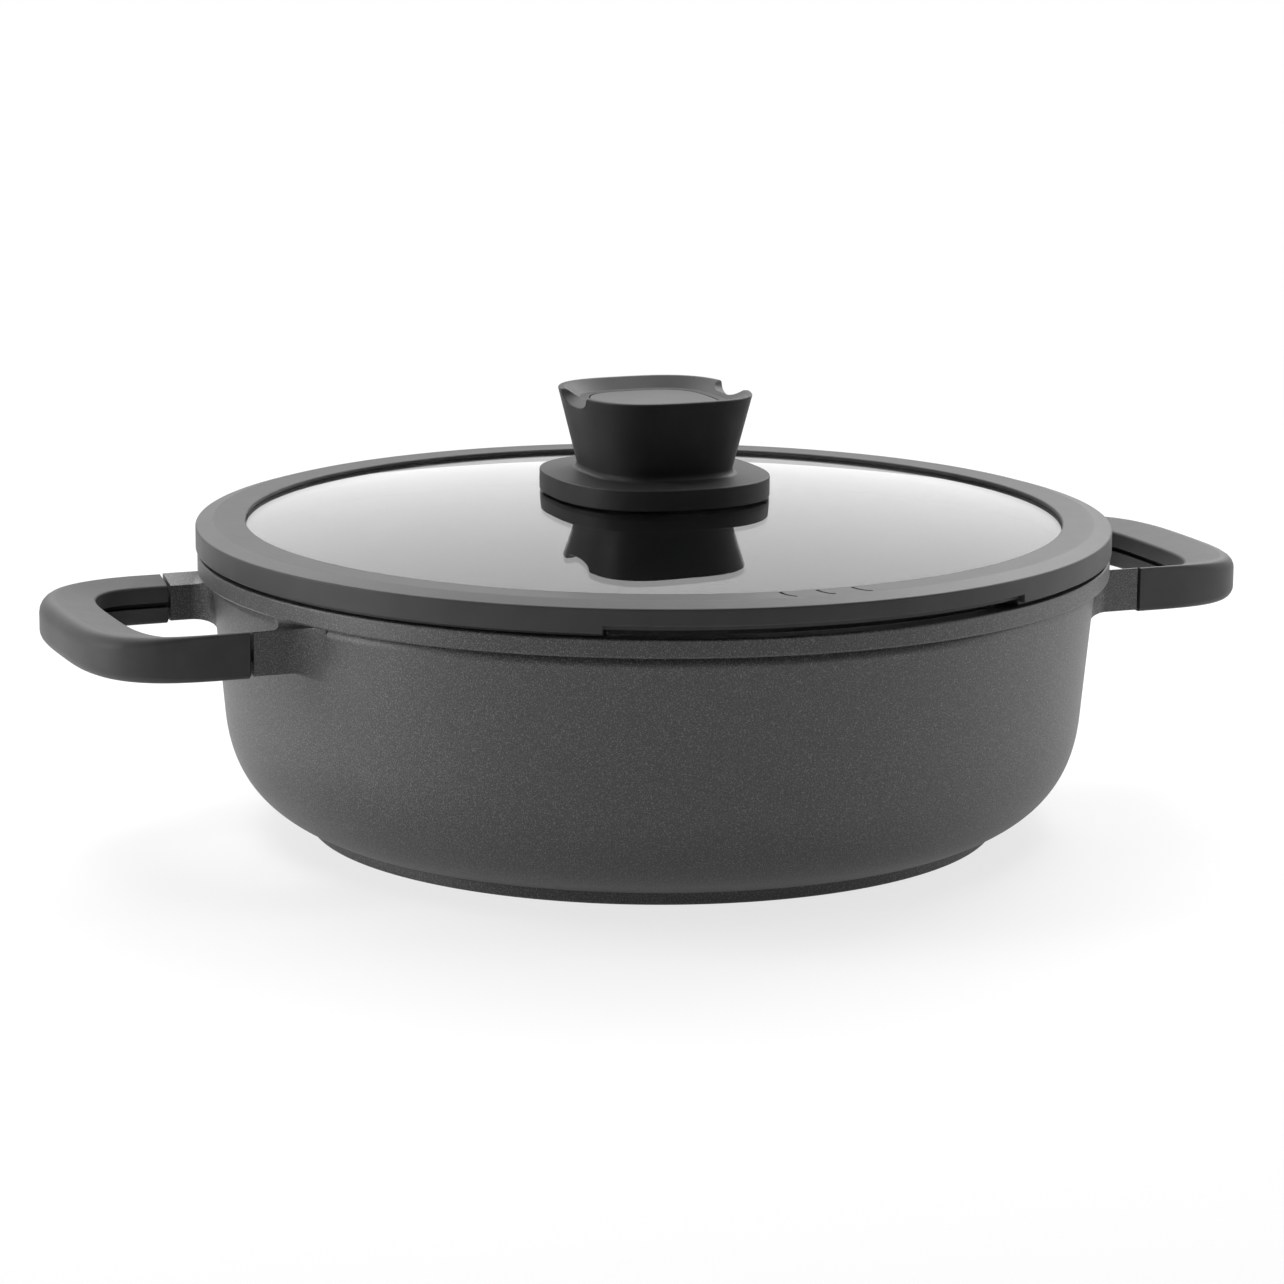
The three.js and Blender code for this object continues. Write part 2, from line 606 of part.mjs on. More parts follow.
function knob() {
  const crownTop = FLANGE_TOP + FLANGE_CROWN;
  const filletMiddle = WAIST_FILLET * (1 - Math.SQRT1_2);
  const body = roundedSquareStack([
    [FLANGE_BOTTOM, FLANGE_HALF_WIDTH - FLANGE_EDGE, FLANGE_SQUARENESS],
    [FLANGE_BOTTOM + FLANGE_EDGE, FLANGE_HALF_WIDTH, FLANGE_SQUARENESS],
    [FLANGE_TOP - FLANGE_EDGE, FLANGE_HALF_WIDTH, FLANGE_SQUARENESS],
    [FLANGE_TOP, FLANGE_HALF_WIDTH - FLANGE_EDGE, FLANGE_SQUARENESS],
    [crownTop, WAIST_HALF_WIDTH + WAIST_FILLET],
    [crownTop + filletMiddle, WAIST_HALF_WIDTH + filletMiddle],
    [crownTop + WAIST_FILLET, WAIST_HALF_WIDTH],
    [KNOB_TOP - KNOB_RIM_EDGE, KNOB_TOP_HALF_WIDTH],
    [KNOB_TOP, KNOB_TOP_HALF_WIDTH - KNOB_RIM_EDGE],
    [KNOB_TOP, KNOB_TOP_HALF_WIDTH - KNOB_RIM],
    [DISH_FLOOR, DISH_FLOOR_HALF_WIDTH],
  ]);
  const pocketHalf = CAP_HALF_WIDTH + FIT;
  const pocketFloor = DISH_FLOOR - CAP_THICKNESS - FIT;
  const pocket = roundedSquareStack([[pocketFloor, pocketHalf], [KNOB_TOP, pocketHalf]]);
  const recessHalf = FLANGE_HALF_WIDTH - FLANGE_RIM;
  const recess = roundedSquareStack([
    [FLANGE_BOTTOM - FIT, recessHalf, FLANGE_SQUARENESS],
    [RECESS_TOP, recessHalf, FLANGE_SQUARENESS],
  ]);
  const boreTop = RECESS_TOP + INSERT_LENGTH + FIT;
  const bore = upright(INSERT_RADIUS + FIT, FLANGE_BOTTOM - FIT, boreTop, SMALL_STEPS);
  const notchRadius = (NOTCH_HALF_WIDTH ** 2 + NOTCH_DEPTH ** 2) / (2 * NOTCH_DEPTH);
  let shaped = solid(body).subtract(solid(pocket)).subtract(solid(recess)).subtract(solid(bore));
  for (const side of [1, -1]) {
    const notch = new THREE.CylinderGeometry(notchRadius, notchRadius, NOTCH_LENGTH, KNOB_STEPS);
    notch.rotateZ(Math.PI / 2).rotateY(side * NOTCH_TILT);
    notch.translate(side * KNOB_TOP_HALF_WIDTH, 0, KNOB_TOP - NOTCH_DEPTH + notchRadius);
    shaped = shaped.subtract(solid(notch));
  }
  return geometryOf(shaped);
}

function knobCap() {
  return roundedSquareStack([
    [DISH_FLOOR - CAP_THICKNESS, CAP_HALF_WIDTH],
    [DISH_FLOOR - CAP_EDGE, CAP_HALF_WIDTH],
    [DISH_FLOOR, CAP_HALF_WIDTH - CAP_EDGE],
  ]);
}

function addKnob() {
  const glassBottom = GLASS_APEX - GLASS_THICKNESS;
  const lowerGasket = glassBottom - FIT - LOWER_GASKET_THICKNESS;
  const lowerWasher = lowerGasket - FIT - WASHER_THICKNESS;
  const screwBottom = lowerWasher - FIT - KNOB_SCREW_HEAD_HEIGHT;
  const screwLength = RECESS_TOP + KNOB_SCREW_GRIP - screwBottom;
  const screwRoom = KNOB_SCREW_RADIUS + FIT;
  const gasketBottom = GLASS_APEX + FIT;
  addPiece(model, 'knob', knob(), FINISH.knob);
  addPiece(model, 'knob_cap', knobCap(), FINISH.cap);
  const insertTop = RECESS_TOP + INSERT_LENGTH;
  addPiece(model, 'knob_insert', washer(screwRoom, INSERT_RADIUS, RECESS_TOP, insertTop, SMALL_STEPS),
    FINISH.brass);
  const gasketRadius = FLANGE_HALF_WIDTH - FLANGE_RIM - GASKET_INSET;
  addPiece(model, 'knob_gasket', washer(GASKET_BORE, gasketRadius, gasketBottom,
    gasketBottom + GASKET_THICKNESS, KNOB_STEPS), FINISH.silicone);
  addPiece(model, 'lower_gasket', washer(screwRoom, LOWER_GASKET_RADIUS, lowerGasket,
    lowerGasket + LOWER_GASKET_THICKNESS, SMALL_STEPS), FINISH.silicone);
  addPiece(model, 'knob_washer', washer(screwRoom, WASHER_RADIUS, lowerWasher,
    lowerWasher + WASHER_THICKNESS, SMALL_STEPS), FINISH.darkSteel);
  const screw = socketScrew(KNOB_SCREW_RADIUS, KNOB_SCREW_HEAD_RADIUS, KNOB_SCREW_HEAD_HEIGHT, screwLength,
    KNOB_SCREW_RADIUS, KNOB_SCREW_HEAD_HEIGHT / 2);
  addPiece(model, 'knob_screw', screw.translate(0, 0, screwBottom), FINISH.darkSteel);
}

addPiece(model, 'pan_body', panBody(), FINISH.castAluminium);
addPiece(model, 'base_disc', turned([
  [0, 0],
  [DISC_RADIUS, 0],
  [DISC_RADIUS, DISC_THICKNESS],
  [0, DISC_THICKNESS],
], ROUND_STEPS), FINISH.steel);
addHandle('right', 0);
addHandle('left', Math.PI);
addPiece(model, 'lid_rim', lidRim(), FINISH.silicone);
addPiece(model, 'lid_glass', lidGlass(), FINISH.glass);
addKnob();

export default model;
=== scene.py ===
import math

import bmesh
import bpy
import numpy as np
from mathutils import Matrix, Vector


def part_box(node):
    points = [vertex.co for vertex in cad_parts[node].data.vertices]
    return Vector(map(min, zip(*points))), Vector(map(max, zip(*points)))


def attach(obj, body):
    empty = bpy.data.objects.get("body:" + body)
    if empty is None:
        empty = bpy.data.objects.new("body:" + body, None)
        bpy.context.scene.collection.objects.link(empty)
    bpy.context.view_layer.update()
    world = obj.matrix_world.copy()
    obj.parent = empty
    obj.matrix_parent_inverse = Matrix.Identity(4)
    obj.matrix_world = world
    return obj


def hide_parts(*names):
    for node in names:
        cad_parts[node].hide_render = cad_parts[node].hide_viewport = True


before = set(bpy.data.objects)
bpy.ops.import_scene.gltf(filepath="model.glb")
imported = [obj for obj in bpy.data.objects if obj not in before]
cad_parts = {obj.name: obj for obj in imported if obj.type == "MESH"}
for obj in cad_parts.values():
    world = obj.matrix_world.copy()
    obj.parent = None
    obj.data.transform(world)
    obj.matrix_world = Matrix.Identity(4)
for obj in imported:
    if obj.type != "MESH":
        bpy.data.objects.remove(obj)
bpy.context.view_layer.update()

# Sizes below are millimetres unless a name says otherwise; meshes are made in metres
MM = 0.001


def box_mm(node):
    low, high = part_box(node)
    return [value / MM for value in low], [value / MM for value in high]


# Places taken from the frame
BODY_HIGH = box_mm("pan_body")[1]
DISC_HIGH = box_mm("base_disc")[1]
GRIP_LOW, GRIP_HIGH = box_mm("right_grip")
STRAP_LOW, STRAP_HIGH = box_mm("right_core")
SCREW_LOW, SCREW_HIGH = box_mm("right_rear_screw")
RIM_LOW, RIM_HIGH = box_mm("lid_rim")
GLASS_HIGH = box_mm("lid_glass")[1]
KNOB_LOW, KNOB_HIGH = box_mm("knob")
CAP_LOW, CAP_HIGH = box_mm("knob_cap")
INSERT_LOW, INSERT_HIGH = box_mm("knob_insert")
PAN_HEIGHT = BODY_HIGH[2]
BAND_RADIUS = BODY_HIGH[1]
LUG_REACH = BODY_HIGH[0]
GRIP_START = GRIP_LOW[0]
HANDLE_REACH = GRIP_HIGH[0]
HANDLE_HALF_WIDTH = GRIP_HIGH[1]
HANDLE_TOP = GRIP_HIGH[2]
GRIP_BOTTOM = GRIP_LOW[2]
LUG_BOTTOM = SCREW_LOW[2]
LID_RADIUS = RIM_HIGH[0]
RIM_TOP = RIM_HIGH[2]
GLASS_RADIUS = GLASS_HIGH[0]
GLASS_APEX = GLASS_HIGH[2]
FLANGE_HALF_WIDTH = KNOB_HIGH[0]
FLANGE_BOTTOM = KNOB_LOW[2]
KNOB_TOP = KNOB_HIGH[2]
KNOB_LENGTHENING = KNOB_HIGH[1] / KNOB_HIGH[0]

# Casting
FIT = 0.3
BAND_HEIGHT = 5.8
BAND_STEP = 4.1
BAND_ROUND = 0.7
GROOVE_HEIGHT = 2.6
GROOVE_DEPTH = 1.6
GROOVE_ROUND = 0.25
SHOULDER_ROUND = 4.5
WALL = 3.2
WALL_DRAFT = math.radians(5.2)
FLOOR = 6.2
FLOOR_RADIUS = 98.2
BOWL_HEIGHT = 37
BOWL_SPREAD = math.radians(66)
BOWL_PULL = 14
BOWL_WALL_PULL = 17
INSIDE_PULL = 16
FOOT_RADIUS = 108.7
FOOT_HEIGHT = 4.8
FOOT_STEP = 4
FOOT_ROUND = 0.7
RIM_ROUND = 0.7

# Induction disc
DISC_EDGE = 0.3
DISC_GROOVE_PITCH = 4
DISC_GROOVE_DEPTH = 0.12

# Handles
TOP_FALL = 2.6
ARM_WIDTH = 9
ARM_STRAIGHT = 6.2
BAR_WIDTH = 18
OUTER_SQUARENESS = 3.2
INNER_SQUARENESS = 3.5
ARM_TOP_ROUND = 0.8
BAR_TOP_ROUND = 5.0
ARM_FOOT_ROUND = 1.2
BAR_FOOT_ROUND = 4.0
GRIP_INNER_ROUND = 1.0
GRIP_END_ROUND = 0.35
GRIP_LIP = 1.4
SLIT_HEIGHT = 1.6
SLIT_ROUND = 0.25
STRAP_EDGE = 0.3
LUG_PLAIN = 6
LUG_ROUND = 0.4
LUG_INNER_FLARE = 7
LUG_OUTER_FLARE = 8.2
LUG_OUTER_DELAY = 5
LUG_EASE = 0.55
LUG_FOOT_FLARE = 2.4
LUG_TOP_FLARE = 1.5
LUG_SINK = 0.06
LUG_ROOT = 1.6
SCREW_RADIUS = 1.25
SCREW_HEAD_HEIGHT = 2.5
SCREW_SOCKET_RADIUS = 1.2
SCREW_SOCKET_DEPTH = 1.3

# Lid
RIM_WIDTH = 15.5
RIM_BEVEL_WIDTH = 5.5
RIM_BEVEL_DROP = 1.6
RIM_BEVEL_ROUND = 3
RIM_EDGE_ROUND = 0.7
SKIRT_WIDTH = 2.4
SKIRT_LIFT = 1.1
SKIRT_ROUND = 0.4
SEAT_FALL = 0.15
RIM_PLUG_WIDTH = 3.4
PLUG_TAPER = 0.4
GLASS_THICKNESS = 4
GLASS_RISE = 9.2
GLASS_HOLE_RADIUS = 5
GLASS_EDGE = 0.8
LIP_ROUND = 0.5
LOWER_LIP = 1.6
LOWER_LIP_ROUND = 0.4
STRAINER_MIDDLE = -math.pi / 2
STRAINER_HALF_ANGLE = math.radians(27.8)
STRAINER_GAP = 1.6
STRAINER_RAISE = 2.3
STEP_ANGLE = math.radians(0.06)
MARK_SPACING = math.radians(5)
MARK_INNER_RADIUS = 129.4
MARK_LENGTH = 7
MARK_WIDTH = 3
MARK_HALF_WIDTH = 0.55
MARK_DEPTH = 1.2
MARK_SIDES = 10

# Knob
KNOB_SQUARENESS = 3
FLANGE_SQUARENESS = 2.5
FLANGE_RIM = 3
FLANGE_THICKNESS = 6.4
FLANGE_ROUND = 0.35
FLANGE_CROWN = 0.6
WAIST_HALF_WIDTH = 22
WAIST_FILLET = 1.6
KNOB_TOP_HALF_WIDTH = 27.9
KNOB_RIM = 1.8
KNOB_RIM_ROUND = 0.5
DISH_DEPTH = 3.2
DISH_SLOPE = 4.6
DISH_ROUND = 0.8
CAP_EDGE = 0.35
NOTCH_HALF_WIDTH = 10.6
NOTCH_SQUARENESS = 2.4
NOTCH_DEPTH = 4.9
NOTCH_TILT = math.radians(25)
NOTCH_ROUND = 0.35
NOTCH_PASSES = 24
INSERT_RADIUS = 5
INSERT_EDGE = 0.3
GASKET_BORE = 12
GASKET_EDGE = 0.4
WASHER_EDGE = 0.25
CLAMP_BORE = 2.8
CLAMP_SCREW_RADIUS = 2.5
CLAMP_HEAD_HEIGHT = 3
CLAMP_SOCKET_RADIUS = 2.5
CLAMP_SOCKET_DEPTH = 1.5

# Mesh steps
ROUND_STEPS = 288
PART_STEPS = 72
KNOB_STEPS = 360
ARC_STEPS = 6
CURVE_STEPS = 36
LOOP_STEPS = 108
FILLET_STEPS = 14
SHARP_ANGLE = math.radians(38)

# Heights and radii worked out from the sizes above
BAND_BOTTOM = PAN_HEIGHT - BAND_HEIGHT
ARM_INNER = HANDLE_HALF_WIDTH - ARM_WIDTH
SLIT_LEVEL = (STRAP_LOW[2] + STRAP_HIGH[2]) / 2
STRAP_RISE = (STRAP_HIGH[2] - STRAP_LOW[2]) / 2
STRAP_NEAR = GRIP_LIP + FIT
STRAP_WIDTH = STRAP_HIGH[1] - ARM_INNER - STRAP_NEAR
STRAP_MIDDLE = ARM_INNER + STRAP_NEAR + STRAP_WIDTH / 2
SCREW_REACH = (SCREW_LOW[0] + SCREW_HIGH[0]) / 2
SCREW_HEAD_RADIUS = (SCREW_HIGH[0] - SCREW_LOW[0]) / 2
SCREW_LENGTH = SCREW_HIGH[2] - SCREW_LOW[2]
LIP_RADIUS = LID_RADIUS - RIM_WIDTH
LID_SEAT = PAN_HEIGHT + FIT
DOME_RADIUS = (LIP_RADIUS ** 2 + GLASS_RISE ** 2) / (2 * GLASS_RISE)
FLANGE_TOP = FLANGE_BOTTOM + FLANGE_THICKNESS
CROWN_TOP = FLANGE_TOP + FLANGE_CROWN
DISH_FLOOR = KNOB_TOP - DISH_DEPTH
DISH_FLOOR_HALF_WIDTH = KNOB_TOP_HALF_WIDTH - KNOB_RIM - DISH_SLOPE


def wall_radius(height):
    return BAND_RADIUS - BAND_STEP - (BAND_BOTTOM - height) * math.tan(WALL_DRAFT)


def inside_radius(height):
    return wall_radius(height) - WALL / math.cos(WALL_DRAFT)


def along_wall(pull):
    return (pull * math.sin(WALL_DRAFT), pull * math.cos(WALL_DRAFT))


def glass_top(radius):
    return GLASS_APEX - DOME_RADIUS + math.sqrt(DOME_RADIUS ** 2 - radius ** 2)


# Mesh helpers
def rounded(corners, steps=ARC_STEPS):
    """Outline through (across, height, radius) corners, each with a radius turned into an arc."""
    outline = []
    count = len(corners)
    for index, (across, height, radius) in enumerate(corners):
        here = np.array((across, height), float)
        if not radius:
            outline.append(here)
            continue
        before = np.array(corners[index - 1][:2], float) - here
        after = np.array(corners[(index + 1) % count][:2], float) - here
        before /= np.linalg.norm(before)
        after /= np.linalg.norm(after)
        half = math.acos(np.clip(before @ after, -1, 1)) / 2
        middle = (before + after) / np.linalg.norm(before + after)
        centre = here + middle * radius / math.sin(half)
        start = here + before * radius / math.tan(half) - centre
        end = here + after * radius / math.tan(half) - centre
        swing = math.atan2(start[0] * end[1] - start[1] * end[0], start @ end)
        for step in range(steps + 1):
            turn = swing * step / steps
            cosine, sine = math.cos(turn), math.sin(turn)
            spoke = (cosine * start[0] - sine * start[1], sine * start[0] + cosine * start[1])
            outline.append(centre + spoke)
    return np.array(outline)


def eased(start, start_pull, end, end_pull, steps=CURVE_STEPS):
    """Points of a cubic curve that leaves along start_pull and arrives along end_pull."""
    start, end = np.array(start, float), np.array(end, float)
    near, far = start + start_pull, end - np.array(end_pull)
    share = np.linspace(0, 1, steps + 1)[:, None]
    rest = 1 - share
    return (rest ** 3 * start + 3 * rest ** 2 * share * near
            + 3 * rest * share ** 2 * far + share ** 3 * end)


def turned(profile, steps=ROUND_STEPS):
    """One ring of points about Z for each (radius, height) of the profile."""
    angles = np.linspace(0, 2 * math.pi, steps, endpoint=False)
    profile = np.asarray(profile, float)
    rings = np.empty((len(profile), steps, 3))
    rings[..., 0] = profile[:, :1] * np.cos(angles)
    rings[..., 1] = profile[:, :1] * np.sin(angles)
    rings[..., 2] = profile[:, 1:]
    return rings


def skin(rings, closed=False):
    """Points and faces of a skin through rings; it closes on itself or gets a face at each end."""
    rings = np.asarray(rings, float)
    index = np.arange(rings.shape[0] * rings.shape[1]).reshape(rings.shape[:2])
    lower = index if closed else index[:-1]
    upper = np.roll(index, -1, axis=0) if closed else index[1:]
    quads = np.stack([lower, np.roll(lower, -1, 1), np.roll(upper, -1, 1), upper], axis=-1)
    faces = quads.reshape(-1, 4).tolist()
    if not closed:
        faces += [index[0][::-1].tolist(), index[-1].tolist()]
    return rings.reshape(-1, 3), faces


def mesh_object(name, shells):
    """Object made of closed shells, each a pair of points in millimetres and faces."""
    points, faces = [], []
    for shell_points, shell_faces in shells:
        offset = len(points)
        points.extend((np.asarray(shell_points) * MM).tolist())
        faces.extend([corner + offset for corner in face] for face in shell_faces)
    mesh = bpy.data.meshes.new(name)
    mesh.from_pydata(points, [], faces)
    work = bmesh.new()
    work.from_mesh(mesh)
    bmesh.ops.recalc_face_normals(work, faces=work.faces)
    work.to_mesh(mesh)
    work.free()
    made = bpy.data.objects.new(name, mesh)
    bpy.context.scene.collection.objects.link(made)
    return made


def carve(target, operation, shells):
    """Joins shells to the target, or cuts them out of it, and leaves a plain mesh."""
    tool = mesh_object("tool", shells)
    change = target.modifiers.new(operation.lower(), "BOOLEAN")
    change.operation = operation
    change.solver = "EXACT"
    change.object = tool
    shaped = bpy.data.meshes.new_from_object(
        target.evaluated_get(bpy.context.evaluated_depsgraph_get()))
    target.modifiers.clear()
    target.data = shaped
    bpy.data.objects.remove(tool)


def settle(piece, material, body, node):
    """Smooths and paints a finished piece, and ties it to the frame."""
    piece.data.materials.clear()
    piece.data.materials.append(material)
    piece.data.shade_smooth()
    piece.data.set_sharp_from_angle(angle=SHARP_ANGLE)
    weighted = piece.modifiers.new("even_normals", "WEIGHTED_NORMAL")
    weighted.keep_sharp = True
    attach(piece, body)
    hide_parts(node)


def half_turned(points, side):
    """Points of the right side, or of the left side half a turn round Z."""
    return np.asarray(points) * ((1, 1, 1) if side == "right" else (-1, -1, 1))


# Casting
def casting_profile():
    leave = (BOWL_PULL * math.sin(BOWL_SPREAD), BOWL_PULL * math.cos(BOWL_SPREAD))
    shoulder = BAND_BOTTOM - GROOVE_HEIGHT
    pocket_radius = DISC_HIGH[0] + FIT
    pocket_top = DISC_HIGH[2] + FIT
    foot = rounded([
        (FIT, pocket_top, 0),
        (pocket_radius, pocket_top, FIT),
        (pocket_radius, 0, FIT),
        (FOOT_RADIUS, 0, FOOT_ROUND),
        (FOOT_RADIUS, FOOT_HEIGHT, FIT),
        (FOOT_RADIUS + FOOT_STEP, FOOT_HEIGHT, 0),
    ])
    bowl = eased((FOOT_RADIUS + FOOT_STEP, FOOT_HEIGHT), leave,
                 (wall_radius(BOWL_HEIGHT), BOWL_HEIGHT), along_wall(BOWL_WALL_PULL))
    band = rounded([
        (wall_radius(BOWL_HEIGHT), BOWL_HEIGHT, 0),
        (wall_radius(shoulder), shoulder, SHOULDER_ROUND),
        (wall_radius(BAND_BOTTOM) - GROOVE_DEPTH, BAND_BOTTOM, GROOVE_ROUND),
        (BAND_RADIUS, BAND_BOTTOM, BAND_ROUND),
        (BAND_RADIUS, PAN_HEIGHT, BAND_ROUND),
        (inside_radius(PAN_HEIGHT), PAN_HEIGHT, RIM_ROUND),
        (inside_radius(BOWL_HEIGHT), BOWL_HEIGHT, 0),
    ])
    hollow = eased((FLOOR_RADIUS, FLOOR), (INSIDE_PULL, 0),
                   (inside_radius(BOWL_HEIGHT), BOWL_HEIGHT), along_wall(INSIDE_PULL))
    return np.concatenate([foot[:-1], bowl[:-1], band[:-1], hollow[::-1], [(FIT, FLOOR)]])


def lug_outline():
    """Section of a lug (across, height), with points along its long sides."""
    corners = rounded([
        (ARM_INNER, LUG_BOTTOM, LUG_ROUND),
        (HANDLE_HALF_WIDTH, LUG_BOTTOM, LUG_ROUND),
        (HANDLE_HALF_WIDTH, HANDLE_TOP, LUG_ROUND),
        (ARM_INNER, HANDLE_TOP - TOP_FALL, LUG_ROUND),
    ])
    outline = []
    for here, after in zip(corners, np.roll(corners, -1, axis=0)):
        parts = max(1, round(np.linalg.norm(after - here)))
        outline.extend(here + (after - here) * part / parts for part in range(parts))
    return np.array(outline)


def wall_reach(across, height):
    return np.sqrt(wall_radius(height) ** 2 - across ** 2) - LUG_SINK


def lug(side, across_sign):
    """Bar that flares into the wall, tangent to it, with its root inside the wall."""
    outline = lug_outline()
    across, height = outline[:, 0], outline[:, 1]
    inward = (HANDLE_HALF_WIDTH - across) / ARM_WIDTH
    upward = (height - LUG_BOTTOM) / (HANDLE_TOP - LUG_BOTTOM)
    sideways = LUG_OUTER_FLARE - inward * (LUG_OUTER_FLARE + LUG_INNER_FLARE)
    lift = upward * (LUG_TOP_FLARE + LUG_FOOT_FLARE + inward * TOP_FALL) - LUG_FOOT_FLARE
    wide, tall = across + sideways, height + lift
    landing = wall_reach(wide, tall)
    slope = landing - wall_reach(wide - sideways * FIT, tall - lift * FIT)
    start = np.stack([LUG_REACH - LUG_PLAIN - (1 - inward) * LUG_OUTER_DELAY, across, height], axis=1)
    end = np.stack([landing, wide, tall], axis=1)
    pull = LUG_EASE * (start[:, :1] - wall_reach(across, height)[:, None]) * np.array((-1, 0, 0))
    push = LUG_EASE * np.stack([slope / FIT, sideways, lift], axis=1)
    rings = [start * (0, 1, 1) + (LUG_REACH, 0, 0)]
    for share in np.linspace(0, 1, FILLET_STEPS + 1):
        rest = 1 - share
        rings.append(rest ** 3 * start + 3 * rest ** 2 * share * (start + pull)
                     + 3 * rest * share ** 2 * (end - push) + share ** 3 * end)
    rings.append(end - (LUG_ROOT, 0, 0))
    points, faces = skin(rings)
    return half_turned(points * (1, across_sign, 1), side), faces


def upright(profile, x, y, steps=PART_STEPS):
    points, faces = skin(turned(profile, steps))
    return points + (x, y, 0), faces


def strap_pocket(side, across_sign):
    """Room in a lug for the end of the strap."""
    reach = (STRAP_LOW[0] - FIT, GRIP_START)
    across = (STRAP_MIDDLE - STRAP_WIDTH / 2 - FIT, STRAP_MIDDLE + STRAP_WIDTH / 2 + FIT)
    height = (SLIT_LEVEL - STRAP_RISE - FIT, SLIT_LEVEL + STRAP_RISE + FIT)
    rings = [[(x, across_sign * across[a], height[b]) for a, b in ((0, 0), (1, 0), (1, 1), (0, 1))]
             for x in reach]
    points, faces = skin(rings)
    return half_turned(points, side), faces


def screw_hole(side, across_sign):
    """Stepped hole up into a lug for its screw."""
    head, shank = SCREW_HEAD_RADIUS + FIT, SCREW_RADIUS + FIT
    seat = LUG_BOTTOM + SCREW_HEAD_HEIGHT + FIT
    end = LUG_BOTTOM + SCREW_LENGTH + FIT
    profile = [(FIT, LUG_BOTTOM - LUG_FOOT_FLARE), (head, LUG_BOTTOM - LUG_FOOT_FLARE),
               (head, seat), (shank, seat), (shank, end), (FIT, end)]
    points, faces = upright(profile, SCREW_REACH, across_sign * STRAP_MIDDLE)
    return half_turned(points, side), faces


LUG_PLACES = [(side, sign) for side in ("left", "right") for sign in (1, -1)]


def paint_inside(piece, material):
    """Gives the faces inside the bowl a second material."""
    piece.data.materials.append(material)
    for face in piece.data.polygons:
        x, y, height = (value / MM for value in face.center)
        inside = math.hypot(x, y) < inside_radius(height) + FIT
        if inside and face.normal.z > 0 and height > FLOOR - FIT:
            face.material_index = 1


def make_casting(outside, inside):
    piece = mesh_object("pan_casting", [skin(turned(casting_profile()))])
    carve(piece, "UNION", [lug(*place) for place in LUG_PLACES])
    carve(piece, "DIFFERENCE", [strap_pocket(*place) for place in LUG_PLACES])
    carve(piece, "DIFFERENCE", [screw_hole(*place) for place in LUG_PLACES])
    settle(piece, outside, "pan", "pan_body")
    paint_inside(piece, inside)


def make_disc(material):
    radius, top = DISC_HIGH[0], DISC_HIGH[2]
    profile = [
        (FIT, top),
        (radius - DISC_EDGE, top),
        (radius, top - DISC_EDGE),
        (radius, DISC_EDGE),
        (radius - DISC_EDGE, 0),
    ]
    groove = radius - DISC_GROOVE_PITCH
    while groove > DISC_GROOVE_PITCH:
        profile += [(groove + DISC_EDGE, 0), (groove, DISC_GROOVE_DEPTH), (groove - DISC_EDGE, 0)]
        groove -= DISC_GROOVE_PITCH
    profile.append((FIT, 0))
    piece = mesh_object("induction_disc", [skin(turned(profile))])
    settle(piece, material, "pan", "base_disc")


# Handles
def loop_point(angle, half_width, depth, squareness):
    power = 2 / squareness
    start = GRIP_START + ARM_STRAIGHT
    return np.array((
        start + depth * abs(math.cos(angle)) ** power,
        half_width * math.copysign(abs(math.sin(angle)) ** power, math.sin(angle)),
    ))


def loop_stations(root):
    """Pairs of inner and outer points round a handle loop, from the root of one arm to the other."""
    start = GRIP_START + ARM_STRAIGHT
    stations = []
    for step in range(LOOP_STEPS + 1):
        angle = math.pi * (0.5 - step / LOOP_STEPS)
        inner = loop_point(angle, ARM_INNER, HANDLE_REACH - BAR_WIDTH - start, INNER_SQUARENESS)
        outer = loop_point(angle, HANDLE_HALF_WIDTH, HANDLE_REACH - start, OUTER_SQUARENESS)
        stations.append((inner, outer))
    arm = [(np.array((root, ARM_INNER)), np.array((root, HANDLE_HALF_WIDTH)))]
    flip = np.array((1, -1))
    return arm + stations + [(inner * flip, outer * flip) for inner, outer in arm]


def swept(stations, section):
    """Rings of a section (distance from the inner edge, height) set out along the stations."""
    rings = []
    for inner, outer in stations:
        width = np.linalg.norm(outer - inner)
        outward = (outer - inner) / width
        outline = section(width)
        ring = np.empty((len(outline), 3))
        ring[:, :2] = inner + outline[:, :1] * outward
        ring[:, 2] = outline[:, 1]
        rings.append(ring)
    return rings


def grip_section(width):
    bar = np.clip((width - ARM_WIDTH) / (BAR_WIDTH - ARM_WIDTH), 0, 1)
    top_round = ARM_TOP_ROUND + bar * (BAR_TOP_ROUND - ARM_TOP_ROUND)
    foot_round = ARM_FOOT_ROUND + bar * (BAR_FOOT_ROUND - ARM_FOOT_ROUND)
    slit = SLIT_HEIGHT / 2
    room = STRAP_RISE + FIT
    room_end = GRIP_LIP + STRAP_WIDTH + 2 * FIT
    return rounded([
        (0, GRIP_BOTTOM, GRIP_INNER_ROUND),
        (width, GRIP_BOTTOM, foot_round),
        (width, HANDLE_TOP, top_round),
        (0, HANDLE_TOP - TOP_FALL, GRIP_INNER_ROUND),
        (0, SLIT_LEVEL + slit, SLIT_ROUND),
        (GRIP_LIP, SLIT_LEVEL + slit, SLIT_ROUND),
        (GRIP_LIP, SLIT_LEVEL + room, 0),
        (room_end, SLIT_LEVEL + room, 0),
        (room_end, SLIT_LEVEL - room, 0),
        (GRIP_LIP, SLIT_LEVEL - room, 0),
        (GRIP_LIP, SLIT_LEVEL - slit, SLIT_ROUND),
        (0, SLIT_LEVEL - slit, SLIT_ROUND),
    ])


